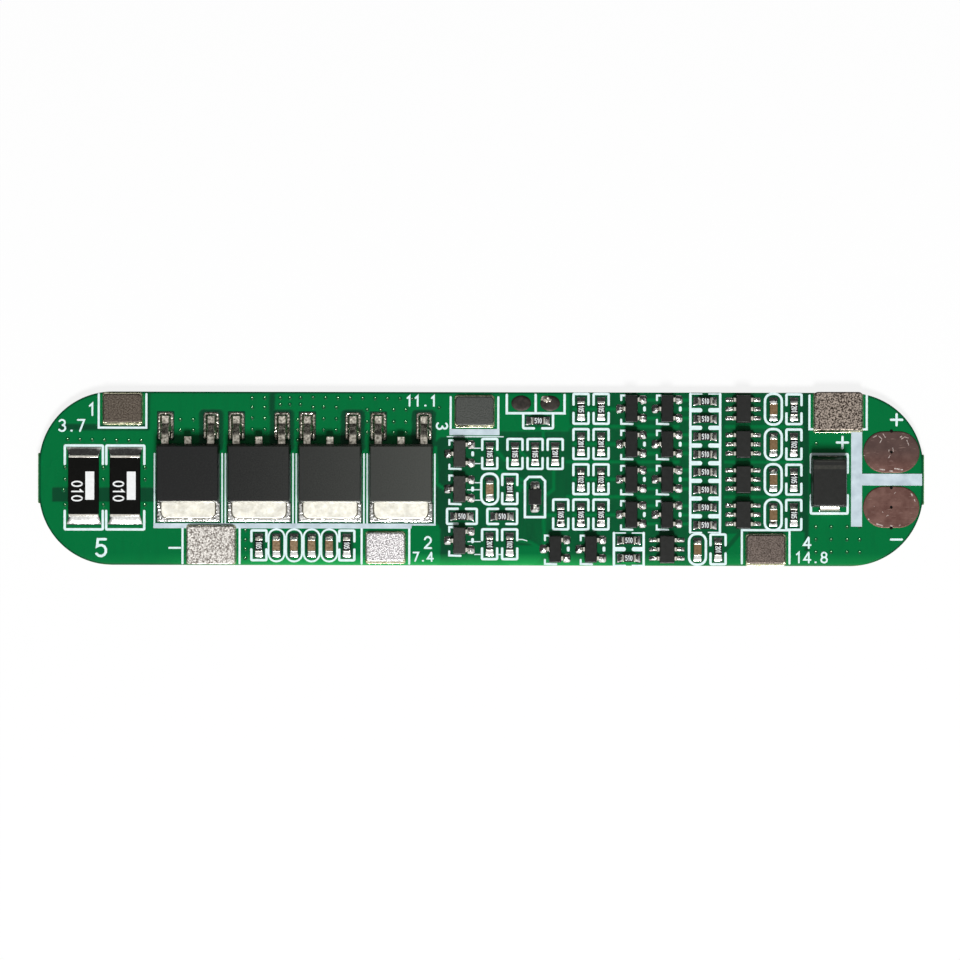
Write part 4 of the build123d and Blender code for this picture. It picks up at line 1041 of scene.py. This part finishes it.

# %% [markdown]
# ### Solder, and painted shade round the heat tabs
#
# A lead's foot stands in a ring of dulled solder that is drawn up to it. The heat tab lies on a
# broad bright pool, and the shade in the narrow gap round its edge is painted as a dark line: a
# block with the tab's outline that stands out a tenth of a millimetre.

# %% Solder under the feet and round the heat tabs
tab_pools, lead_pools = [], []
for number, pad in enumerate(zip(*solids_of("power_transistor_solder"))):
    pad_middle = (pad[0] + pad[1])[:2] / 2
    cell = np.abs(middles(power_boxes)[:, 0] - pad_middle[0]).argmin()
    if pad_middle[1] > 0:
        low, high = power_leads[cell]
        nearest = np.abs((low + high)[:, 0] / 2 - pad_middle[0]).argmin()
        lead_pools.append(pool(pad, (low[nearest], high[nearest]), 0.3, 0.06, 0.0, number, 54, 84, 0, 0.3))
    else:
        tab_pools.append(pool(pad, heat_tabs[cell], 0.1, 0.05, 0.02, number, 130, 80, TAB_CHAMFER))
add_piece("power_transistor_pools", tab_pools, solder_finish, "solder", "power_transistor_solder")
add_piece("power_lead_pools", lead_pools, dull_solder, "solder")
# Painted shade: a dark block under each heat tab's edge stands for the shade in the narrow gap between the
# tab and its pool
gap_shade_finish = mottled(
    "painted_gap_shade", (50, 44, 34), (112, 106, 92), 0.25, 0.5, (0.2, 0.4), 0.004, 0.2, Specular_IOR_Level=0.3
)
gap_shade_shapes = []
for (tab_low, tab_high), body_high in zip(heat_tabs, power_boxes[1]):
    gap_shade_low = [*(tab_low[:2] - [0.1, 0.08]), board_top - 0.01]
    gap_shade_high = [tab_high[0] + 0.1, body_high[1] - TAB_UNDER_BODY + 0.08, board_top + 0.19]
    gap_shade_shapes.append(block(gap_shade_low, gap_shade_high, TAB_CHAMFER, 0.03, 4))
add_piece("painted_gap_shade_lines", gap_shade_shapes, gap_shade_finish, "solder")

# %% [markdown]
# ### Moulded bodies
#
# A mould's two halves meet at the parting line, halfway up the leads, and the walls lean in above
# and below it so that the body comes out. The power bodies lean much more at the rear, above the
# leads. Their surface is a fine spark grain. The clamp diode's body is longer than the CAD's,
# because the photograph shows it so: its box is grown at both ends and a little to the left.

# %% Moulded bodies
DRAFT = np.tan(np.radians(8))
CLAMP_GROWN_LOW, CLAMP_GROWN_HIGH = [0.2, 0.22, 0], [0, 0.55, 0]


def moulded(boxes, parting, band, edge, corner, rear_lean=0.0):
    """Bodies with drafted walls: the profile leans out to a band at the parting line, then in."""
    low, high = boxes
    tall = high[0, 2] - low[0, 2]
    under, over = parting - band / 2, parting + band / 2
    lean = DRAFT * (tall - over)
    profile = ((DRAFT * under, 0), (0, under / tall), (0, over / tall), (lean, 1 - edge / tall))
    points, quads, caps = blocks(boxes, corner, edge, 3, profile)
    rise = np.clip((points[:, 2] - low[0, 2] - over) / (tall - over), 0, 1)
    middle = np.repeat(middles(boxes)[:, 1], len(points) // len(low))
    share = np.clip((points[:, 1] - middle) / ((high[0, 1] - low[0, 1]) / 2), 0, 1)
    points[:, 1] -= rear_lean * rise * share
    return points, quads, caps


def epoxy(name, low, high):
    """Black moulded epoxy with a fine grain."""
    return mottled(name, low, high, 0.12, 0.6, (0.28, 0.36), 0.002, 0.05, Specular_IOR_Level=0.3)


# The further right a power body stands, the paler it is
power_finish, tree, shader = new_finish("power_epoxy", Specular_IOR_Level=0.25, Roughness=0.4)
share = ranged(tree, place_in(tree, "X"), power_boxes[0][0, 0] * MM, power_boxes[1][-1, 0] * MM)
specks = ranged(tree, grain(tree, 0.12), 0.3, 0.7, -0.12, 0.12)
paleness = sum_of(tree, "ADD", specks, sum_of(tree, "POWER", share, 1.8), True)
dress(tree, shader, mixed(tree, paleness, (5, 6, 6), (62, 64, 60)), grain(tree, 0.06), 0.004)
power_shape = moulded(power_boxes, 1.0, 0.5, 0.08, 0.1, 0.1)
add_piece("power_transistor_bodies", power_shape, power_finish, "moulded_epoxy", *power_bodies)

small_epoxy = epoxy("small_epoxy", (12, 13, 11), (26, 27, 24))
left_names = [name for name in small_names if box_of(name)[0][0] < 0]
right_names = [name for name in small_names if name not in left_names]
for piece, names, finish in (
    ("grey_bodies", left_names, epoxy("grey_epoxy", (34, 34, 31), (56, 57, 53))),
    ("black_bodies", right_names, epoxy("black_epoxy", (3, 5, 3), (14, 16, 13))),
    ("monitor_bodies", monitor_names, small_epoxy),
):
    add_piece(piece, moulded(solids_of_all(names), 0.47, 0.12, 0.05, 0.06), finish, "moulded_epoxy", *names)
clamp_box = solids_of("clamp_diode_body")
clamp_shape = moulded(
    (clamp_box[0] - CLAMP_GROWN_LOW, clamp_box[1] + CLAMP_GROWN_HIGH), 0.93, 0.22, 0.08, 0.1, 0.2
)
add_piece("clamp_body", clamp_shape, small_epoxy, "moulded_epoxy", "clamp_diode_body")

# %% [markdown]
# ## Small leads
#
# The small transistors and the cell monitors stand on gull wing leads as well, only thinner. Each
# CAD lead's box says which way it points: it is longer outward than it is wide. The solder at a toe
# is a small dome on its own pad.

# %% Gull wing leads and their pads
SMALL_THICKNESS, SMALL_FOOT = 0.13, 0.26
# Half sizes of a pad along and across its lead, height of its solder, and shift towards the toe
lead_pads = {
    "signal_transistor_leads": ((0.42, 0.46), 0.19, 0.12),
    "cell_monitor_leads": ((0.44, 0.24), 0.15, 0.15),
    "small_diode_leads": ((0.45, 0.5), 0.24, 0.02),
}


def outwards(boxes, bodies, longer=False):
    """For each box at a body's end: which body is nearest, and which way the box lies from it.

    A lead is longer outward than it is wide; an end cap and its fillet are not.
    """
    size, middle, body = boxes[1] - boxes[0], middles(boxes)[:, :2], middles(bodies)[:, :2]
    nearest = np.linalg.norm(middle[:, None] - body, axis=-1).argmin(axis=1)
    along_x = (size[:, :1] > size[:, 1:2]) == longer
    away = np.sign(np.round(middle - body[nearest], 1))
    return nearest, np.where(along_x, [1.0, 0.0], [0.0, 1.0]) * away


lead_shapes, pad_shapes = [], []
small_bodies = solids_of_all(small_names + monitor_names)
for node, ((half_along, half_across), tall, shift) in lead_pads.items():
    low, high = solids_of(node)
    _, outward = outwards((low, high), small_bodies, True)
    width, reach = np.sort((high - low)[0, :2])
    start = lifted((low + high)[:, :2] / 2 - outward * reach / 2, board_top)
    level = high[0, 2] - board_top - SMALL_THICKNESS / 2
    path = gull_path(-0.08, 0.16, reach - SMALL_FOOT, reach, level, SMALL_THICKNESS / 2)
    lead_shapes.append(carried(start, outward, *strip(path, width, SMALL_THICKNESS, 0.03)))
    toe = start[:, :2] + outward * (reach - SMALL_FOOT / 2 + shift)
    halves = np.abs(outward) @ [[half_along, half_across], [half_across, half_along]]
    for seed, (point, half, foot) in enumerate(zip(toe, halves, zip(low, high))):
        pad_shapes.append(blob(point, half, tall, foot, 0.05, seed))
add_piece("small_leads", lead_shapes, tin_finish, "tinned_metal", *lead_pads)
add_piece("small_lead_pads", pad_shapes, solder_finish, "solder", "lead_solder")

# %% [markdown]
# ## Chip resistors and capacitors
#
# A chip resistor is a slip of white ceramic with a black glass coat on top and tinned caps over
# its ends. A chip capacitor is a taller block of brown ceramic with the same caps. The caps stand
# out a little from the body all round. Plain three figure codes are printed on the resistors.

# %% Chip bodies, coats, caps and codes
ceramic_finish = mottled("white_ceramic", (214, 212, 204), (236, 234, 228), 0.2, 0.5, (0.5, 0.6))
coat_finish = mottled(
    "black_glass", (8, 8, 9), (24, 22, 24), 0.15, 0.5, (0.2, 0.32), 0.002, 0.08, Specular_IOR_Level=0.2
)
brown_finish, tree, shader = new_finish("brown_ceramic", Specular_IOR_Level=0.2, Roughness=0.45)
fired = mixed(tree, ranged(tree, grain(tree, 0.22), 0.35, 0.65), (110, 88, 62), (154, 129, 100))
share = ranged(tree, place_in(tree, "X"), 8 * MM, 20 * MM, 0.0, 0.62)
dress(tree, shader, mixed(tree, share, fired, (104, 78, 44)), grain(tree, 0.1), 0.004)
code_finish = mottled("code_ink", (215, 222, 222), (240, 244, 244), 0.1, 0.5, (0.5, 0.6))
CAP_PROUD, CAP_BACK, COAT = 0.015, 0.14, 0.04
SIDE_INSET, COAT_INSET = 0.06, 0.005


def shortened(boxes, chips, length):
    """End caps' boxes cut back at their outer ends, where solder covers them."""
    cut = length * lifted(outwards(boxes, chips)[1], 0)
    return boxes[0] - np.minimum(cut, 0), boxes[1] - np.maximum(cut, 0)


low, high = resistor_boxes
under_caps = 0.25 * np.where(lying[:, None], [1.0, 0.0, 0.0], [0.0, 1.0, 0.0])
ceramic_boxes = (
    low - under_caps + [SIDE_INSET, SIDE_INSET, 0], high + under_caps - [SIDE_INSET, SIDE_INSET, COAT]
)
slips = blocks(ceramic_boxes, 0.02, 0.02, 2)
add_piece("resistor_ceramics", slips, ceramic_finish, "resistor_coat", "chip_resistors")
coat_low = lifted(low[:, :2] + COAT_INSET, high[:, 2:] - COAT - 0.01)
coat_boxes = (coat_low, high - [COAT_INSET, COAT_INSET, 0.004])
add_piece("resistor_coats", blocks(coat_boxes, 0.03, 0.02), coat_finish, "resistor_coat")
cap_names = ["chip_resistor_caps", "chip_capacitor_caps"]
chip_boxes = solids_of_all(["chip_resistors", "chip_capacitors"])
cap_shapes = blocks(shortened(solids_of_all(cap_names), chip_boxes, CAP_BACK), 0.04, 0.05)
add_piece("chip_caps", cap_shapes, tin_finish, "tinned_metal", *cap_names)
brown_shapes = blocks(grown(capacitor_boxes, -CAP_PROUD, 0.1, 0, -CAP_PROUD), 0.04, 0.04)
add_piece("capacitor_ceramics", brown_shapes, brown_finish, "capacitor_ceramic", "chip_capacitors")

code_low = high[0, 2] - 0.006
codes = ("105", "105", "102", "201")
CODE_TALL, CODE_LINE, CODE_SQUEEZE = 0.5, 0.075, 0.6
strokes = []
for number, (middle, flat) in enumerate(zip(resistor_middles, lying)):
    code, turn = ("510", 0) if flat else (codes[number % len(codes)], -90)
    strokes += write(code, middle, CODE_TALL, CODE_LINE, turn, CODE_SQUEEZE, code_low, code_low + 0.008)
add_piece("resistor_codes", strokes, code_finish, "white_ink")

# %% Fillets at the chips' ends
FILLET_FOOT, FILLET_LIMIT = 0.02, 0.48


def fillets(node, chips, climb, back):
    """Hollow fillets: the height over the pad falls as (1 - t)^1.6 from a share of the chip's own.

    They are lower at the sides and wider towards the pad, and start a little inside the cap.
    """
    boxes = solids_of(node)
    nearest, outward = outwards(boxes, chips)
    plan = (boxes[1] - boxes[0])[:, :2, None]
    reach, width = plan.min(axis=1)[:, None], plan.max(axis=1)[:, None]
    top = np.minimum(climb * (chips[1][nearest, 2] - board_top), FILLET_LIMIT)[:, None, None]
    t = np.linspace(0, 1, 8)[:, None]
    across = np.array([-1, 1, 1, 0.92, 0.7, 0.3, -0.3, -0.7, -0.92, -1])
    raised = np.array([0, 0, 0.2, 0.6, 0.88, 1, 1, 0.88, 0.6, 0.2])
    start = lifted(middles(boxes)[:, :2] - outward * reach[:, 0] / 2, board_top)
    u = (reach + back) * t - back + 0 * across
    s = width / 2 * across * (0.96 + 0.18 * t)
    return carried(start, outward, u, s, raised * (top * (1 - t) ** 1.6 + FILLET_FOOT) - 0.004)


chip_fillets = fillets("chip_solder", chip_boxes, 0.92, CAP_BACK + 0.04)
add_piece("chip_fillets", chip_fillets, solder_finish, "solder", "chip_solder")

# %% [markdown]
# ## Current shunts
#
# A shunt is a larger chip: a resistive block under a black coat, between two tinned ends with
# generous fillets. Its value and a white bar are printed on the coat.

# %% Shunt bodies, ends, print and fillets
shunt_finish = mottled(
    "shunt_coat", (4, 4, 3), (12, 12, 10), 0.2, 0.6, (0.35, 0.45), 0.003, 0.12, Specular_IOR_Level=0.06
)
body_shapes = blocks(grown(shunt_boxes, 0, 0.02, 0, 0), 0.05, 0.05)
add_piece("shunt_bodies", body_shapes, shunt_finish, "shunt_coat", *shunt_bodies)
end_boxes = grown(solids_of_all(shunt_end_names), -0.02, 0, 0, -0.03)
end_shapes = blocks(shortened(end_boxes, shunt_boxes, 0.02), 0.05, 0.04)
add_piece("shunt_ends", end_shapes, tin_finish, "tinned_metal", *shunt_end_names)
end_solder = fillets("shunt_solder", shunt_boxes, 0.85, 0.14)
add_piece("shunt_fillets", end_solder, solder_finish, "solder", "shunt_solder")

BAR_SHIFT, BAR_HALF = np.array([0.66, 0.02]), np.array([0.46, 1.46])
print_low, print_high = shunt_boxes[1][0, 2] - 0.01, shunt_boxes[1][0, 2] + 0.012
shapes = []
for middle in middles(shunt_boxes)[:, :2]:
    bar = middle + BAR_SHIFT
    shapes.append(block([*(bar - BAR_HALF), print_low], [*(bar + BAR_HALF), print_high], 0.03, 0.006))
    shapes += write("010", middle + [-0.66, -0.55], 1.06, 0.15, -90, 0.84, print_low, print_high)
shunt_ink = mottled("shunt_ink", (228, 230, 230), (240, 242, 242), 0.3, 0.5, (0.5, 0.6))
add_piece("shunt_print", shapes, shunt_ink, "white_ink")

# %% [markdown]
# ## Diodes
#
# The clamp diode's leads fold down its ends and under it. The cathode end is marked with a printed
# band, and a thin grey line along the body's upper rear edge is a painted highlight. The small
# diode stands on two short leads, which were made with the other gull wings.

# %% Clamp diode leads, solder, band and painted edge highlight
FOLD_THICKNESS, FOLD_RADIUS, FOOT_RADIUS = 0.22, 0.42, 0.2
clamp_low, clamp_high = clamp_box[0][0], clamp_box[1][0]
lead_low, lead_high = solids_of("clamp_diode_leads")
fold_level = lead_high[0, 2] - board_top - FOLD_THICKNESS / 2
outer, sole = lead_high[:, 1].max() - clamp_high[1] - FOLD_THICKNESS / 2, FOLD_THICKNESS / 2
fold_path = [
    (-0.3, fold_level),
    *arc(outer - FOLD_RADIUS, fold_level - FOLD_RADIUS, FOLD_RADIUS, FOLD_RADIUS, 90, 0, 6),
    *arc(outer - FOOT_RADIUS, sole + FOOT_RADIUS, FOOT_RADIUS, FOOT_RADIUS, 0, -90, 6),
    (-0.9, sole),
]
# The front lead stands further out, as the longer body needs
fold_ways = np.array([[0.0, 1.0], [0.0, -1.0]])
fold_reach = (clamp_high - clamp_low)[1] / 2 + [[0.0], [0.2]]
fold_starts = lifted((clamp_low + clamp_high)[:2] / 2 + fold_ways * fold_reach, board_top)
fold_strip = strip(fold_path, (lead_high - lead_low)[0, 0], FOLD_THICKNESS, 0.04)
clamp_leads = carried(fold_starts, fold_ways, *fold_strip)
add_piece("clamp_leads", clamp_leads, tin_finish, "tinned_metal", "clamp_diode_leads")
clamp_solder = fillets("clamp_diode_solder", clamp_box, 0.12, 0.03)
add_piece("clamp_fillets", clamp_solder, solder_finish, "solder", "clamp_diode_solder")

band_and_highlight_finish = mottled("band_ink_and_painted_highlight", (26, 27, 22), (48, 48, 41), 0.3, 0.5, (0.5, 0.6), Specular_IOR_Level=0.3)
# A broad printed band and a thin painted highlight along the body's upper rear edge: distances
# from the body's left and right, middle and half width
band_y = clamp_high[1] - 0.58
shapes = []
for left, right, y, half in ((0.04, 0.22, band_y, 0.2), (0.3, 0.38, band_y + 0.6, 0.035)):
    low = [clamp_low[0] + left, y - half, clamp_high[2] - 0.01]
    high = [clamp_high[0] - right, y + half, clamp_high[2] + 0.004]
    shapes.append(block(low, high, 0.02, 0.004))
add_piece("clamp_band_and_edge_highlight", shapes, band_and_highlight_finish, "white_ink")

# %% [markdown]
# ## Bare pads
#
# The output leads are soldered by the user to two bare copper pads. Each is rings from its outline
# in to a plated hole, closed through the hole, so it is a real ring of metal. The copper has dulled
# to brown and carries fine scratches, and a few short scrapes show bright metal. The two small oval
# pads are thinly tinned and dark.

# %% Copper pads with a plated hole
copper_look = {"Metallic": 0.5, "Roughness": 0.42, "Specular_IOR_Level": 0.3}
copper_finish, tree, shader = new_finish("dulled_copper", **copper_look)
scratch = grain(tree, 0.35, 6.0, (0.35, 3.0, 1))
tone = mixed(tree, ranged(tree, grain(tree, 0.9, 5.0), 0.35, 0.65), (88, 58, 51), (110, 80, 72))
upper = ranged(tree, place_in(tree, "Y"), 1.2 * MM, 3.2 * MM, 0.0, 0.62)
tone = mixed(tree, upper, tone, (62, 52, 50))
scratched = mixed(tree, ranged(tree, scratch, 0.64, 0.74), tone, (150, 124, 116))
dress(tree, shader, scratched, scratch, 0.004)

HOLE_RADIUS = 0.15


def pad_shape(name, rim_of, inward, level, hole_radius=0.0):
    """A pad as rings from its outline in to its middle, or to a hole and closed through it."""
    low, high = box_of(name)
    rim = rim_of(*(high - low)[:2] / 2)
    hole = hole_radius * rim / np.linalg.norm(rim, axis=1, keepdims=True)
    plan = rim + np.array(inward)[:, None, None] * (hole - rim) + (low + high)[:2] / 2
    return ring_stack(lifted(plan, board_top + np.array(level)[:, None, None])[None], hole_radius > 0)


def long_rim(half_x, half_y):
    """Outline of a pad with round ends, in quarters of 16 points."""
    return outline(half_x, half_y, half_y, 16)


inward = [0.0, 0.0, 0.012, 0.03, *np.linspace(0.06, 1, 9), 1.0]
level = [0.0, 0.06, 0.09] + 9 * [0.1] + [0.095, 0.0]
pad_names = ["output_pad_positive", "output_pad_negative"]
shapes = [pad_shape(name, long_rim, inward, level, HOLE_RADIUS) for name in pad_names]
add_piece("output_pads", shapes, copper_finish, "bare_copper", *pad_names)

# Bright metal where the pads have been scraped
fine_scrapes = [
    [(40.6, 4.38), (40.92, 4.55)], [(41.15, 4.52), (41.5, 4.2)], [(41.28, 3.82), (41.45, 4.12)],
    [(41.6, 4.72), (41.83, 4.37)], [(43.36, 4.4), (43.53, 4.5)], [(43.51, 4.2), (43.79, 4.4)],
    [(43.84, 4.43), (44.24, 4.3)], [(44.06, 4.07), (44.26, 3.57)], [(42.61, 3.27), (42.66, 2.92)],
    [(42.33, 2.54), (42.18, 2.26)], [(42.23, 3.09), (42.18, 2.89)], [(44.84, -2.07), (44.93, -2.27)],
    [(42.77, -1.45), (42.89, -1.3)], [(43.31, -4.76), (43.38, -4.68)], [(41.55, -3.33), (41.6, -3.38)],
    [(41.98, -3.78), (42.15, -3.68)], [(40.67, -2.76), (40.72, -2.81)], [(39.64, 2.51), (39.7, 2.46)],
]
broad_scrapes = [
    [(41.3, 1.06), (41.73, 1.01)], [(42.33, 0.9), (42.56, 0.87)], [(42.83, 1.14), (43.58, 1.02)],
    [(44.54, -1.47), (44.64, -1.65)], [(40.12, -4.08), (40.15, -4.13)], [(40.97, -4.59), (41.55, -4.76)],
    [(42.43, -4.76), (42.53, -4.84)],
]
scrape_low, scrape_high = board_top + 0.08, board_top + 0.102
scraped = mottled(
    "scraped", (128, 100, 92), (214, 204, 198), 0.16, 0.4, (0.3, 0.5), 0.006, 0.1, Metallic=0.3
)
shapes = []
for paths, width in ((fine_scrapes, 0.07), (broad_scrapes, 0.14)):
    shapes += [stroke(path, width, scrape_low, scrape_high) for path in paths]
add_piece("pad_scrapes", laid_over(shapes), scraped, "bare_copper")

# Painted shade: the drilled holes look black from above, as little light gets into them, so a deep
# bowl in each and plugs at the pads' edges are painted dark
pad_middles = middles(solids_of_all(pad_names))[:, :2]
edge_places = [(pad_middles[0, 0], y) for y in (5.0, -0.84, -5.0)]
hole_shade_finish = mottled("painted_hole_shade", (6, 6, 6), (18, 16, 14), 0.2, 0.5, (0.5, 0.6), Specular_IOR_Level=0.05)
hole_shade_shape = rings_round(pad_middles, (0.148, 0.148, 0.12, 0.05), (-0.01, 0.112, 0.04, 0.02), 5)
edge_plug_shade_shape = rings_round(edge_places, (0.16, 0.16, 0.13, 0.05), (-0.01, 0.112, 0.116, 0.114), 5)
add_piece("painted_hole_shades", [hole_shade_shape, edge_plug_shade_shape], hole_shade_finish, "bare_copper")

# %% Small oval pads
def oval_rim(half_x, half_y):
    """Outline of an oval pad, in 48 steps of 7.5 degrees."""
    return arc(0, 0, half_x, half_y, 0, 352.5, 48)


dark_tin = mottled("dark_tin", (34, 32, 30), (62, 57, 52), 0.5, 0.5, (0.35, 0.5), 0.006, 0.3, Metallic=0.8)
inward, level = (0, 0, 0.03, 0.1, 0.3, 0.6, 0.9), (0, 0.04, 0.075, 0.09, 0.1, 0.1, 0.1)
switch_names = ["switch_pad_left", "switch_pad_right"]
shapes = [pad_shape(name, oval_rim, inward, level) for name in switch_names]
add_piece("switch_pads", shapes, dark_tin, "tarnished_tin", *switch_names)


def residue_relief(x, y):
    """A thin splash of tin, broken up where its ripples fall below the pad."""
    share = np.hypot(x / 0.66, y / 0.4)
    return 0.07 + 0.05 * np.maximum(1 - share**2, 0) + 0.03 * ripples(x, y, 0.26, 4) * (1 - share)


low, high = box_of("switch_pad_right")
residue_middle = (low + high)[:2] / 2 + [-0.3, 0.38]
residue = plate(residue_middle, 0.64, 0.38, 0.35, board_top, residue_relief, 38, 26)
add_piece("switch_pad_tin", residue, lead_tin, "tinned_metal")

# %% Solder round the weld tabs
RIM, FRONT_RIM = 0.12, 0.22
shapes = []
for seed, name in enumerate(tab_looks):
    low, high = box_of(name)
    front = 0 if name == "battery_negative_tab" else FRONT_RIM
    pad_high = np.minimum(high + [RIM, RIM, 0], [np.inf, half_width - 0.02, np.inf])
    shapes.append(pool((low - [RIM, front, 0], pad_high), (low, high), 0.3, 0.02, 0.2, 20 + seed, 120, 90))
add_piece("weld_tab_pools", shapes, stained, "solder", "weld_tab_solder")

# %% [markdown]
# ## Floor, light and camera
#
# The board lies on a white table. What the camera sees of the table is nearly all its own white,
# with enough of the lit surface left for a soft shadow. The key light is a large soft lamp over
# the board's lower edge, 58 degrees up, so faces turned that way are bright and the others dark.
# Shiny metal needs something to reflect: for glossy rays the world is bright straight overhead,
# so level metal shines, and on the lamp's side, and it is dark behind the board.

# %% Floor
def mix_shaders(tree, share, first, second):
    """The first shader where the share is 0, the second where it is 1."""
    return add_node(tree, "MixShader", {0: share, 1: first, 2: second}).outputs[0]


def emptied(data):
    """The node tree of a material or a world, with nothing in it."""
    data.use_nodes = True
    data.node_tree.nodes.clear()
    return data.node_tree


WHITE = (1, 1, 1, 1)
FLOOR_HALF, FLOOR_DROP = 400, 0.01
OWN_WHITE = 0.86
floor_finish = bpy.data.materials.new("white_table")
tree = emptied(floor_finish)
seen = add_node(tree, "LightPath").outputs["Is Camera Ray"]
paper = mixed(tree, grain(tree, 3.0), (243, 243, 243), (247, 247, 247))
paint = add_node(tree, "BsdfDiffuse", {"Color": paper}).outputs[0]
glow = add_node(tree, "Emission", {"Color": WHITE, "Strength": 1.0}).outputs[0]
both = mix_shaders(tree, ranged(tree, seen, 0, 1, 0.0, OWN_WHITE), paint, glow)
add_node(tree, "OutputMaterial", {"Surface": both})
floor_mesh = bpy.data.meshes.new("table")
floor_points = lifted(outline(FLOOR_HALF, FLOOR_HALF, 10, 4), -FLOOR_DROP) * MM
floor_mesh.from_pydata(floor_points, [], [range(len(floor_points))])
floor_mesh.materials.append(floor_finish)
table = add_object("table", floor_mesh)
table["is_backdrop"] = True
print("table", FLOOR_HALF * 2, "mm wide")

# %% Lamp
KEY_ELEVATION = np.radians(58)
KEY_ASIDE = 0.05
KEY_DISTANCE, KEY_SIZE, KEY_LEVEL = 0.8, 0.2, 0.9

key_data = bpy.data.lights.new("key", "AREA")
key_data.size = KEY_SIZE
direction = np.array([KEY_ASIDE, -np.cos(KEY_ELEVATION), np.sin(KEY_ELEVATION)])
direction /= np.linalg.norm(direction)
across, behind, up = direction
# A level surface gets power · cos / (π · distance²), and shows that over π
key_data.energy = KEY_LEVEL * np.pi**2 * KEY_DISTANCE**2 / up
key = add_object("key", key_data)
key.location = direction * KEY_DISTANCE
key.rotation_euler = (np.arctan2(np.hypot(across, behind), up), 0, np.arctan2(across, -behind))
print(f"lamp {key_data.energy:.1f} W at", key.location)

# %% World
TO_LAMP = (0.25, -0.97, 0.0)
CAMERA_LEVEL, FILL_LEVEL = 1.0, 0.2

world = bpy.data.worlds.new("studio")
bpy.context.scene.world = world
tree = emptied(world)
path = add_node(tree, "LightPath").outputs
where = add_node(tree, "TexCoord").outputs["Generated"]
up = add_node(tree, "SeparateXYZ", {0: where}).outputs["Z"]
front = add_node(tree, "VectorMath", {0: where, 1: TO_LAMP}, operation="DOT_PRODUCT")
overhead = ranged(tree, up, 0.9, 0.985, 0.0, 0.75)
forward = ranged(tree, front.outputs["Value"], 0.08, 0.5, 0.05, 1.0)
strengths = (CAMERA_LEVEL, FILL_LEVEL, sum_of(tree, "MAXIMUM", overhead, forward))
shown, fill, shine = (
    add_node(tree, "Background", {"Color": WHITE, "Strength": strength}).outputs[0] for strength in strengths
)
lit = mix_shaders(tree, path["Is Glossy Ray"], fill, shine)
add_node(tree, "OutputWorld", {"Surface": mix_shaders(tree, path["Is Camera Ray"], lit, shown)})
print("world: white to the camera, graded for shine")

# %% Camera
LENS, SENSOR = 200, 36
FRAME_WIDTH = 99.38
VIEW_SHIFT = (-0.11, -0.12)
VIEW_ROLL = 0.11

camera_data = bpy.data.cameras.new("camera")
camera_data.lens = LENS
camera_data.sensor_width = SENSOR
camera = add_object("camera", camera_data)
camera.location = np.array([*VIEW_SHIFT, board_top + FRAME_WIDTH * LENS / SENSOR]) * MM
camera.rotation_euler = (0, 0, np.radians(VIEW_ROLL))
bpy.context.scene.camera = camera
bpy.context.scene.view_settings.view_transform = "Standard"
print("camera", round(camera.location.z, 4), "m up")

# %% Print the finished model's box beside the CAD's, and finish
boxes = [[list(corner) for corner in box] for box in (cad_box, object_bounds())]
print("boxes", boxes)
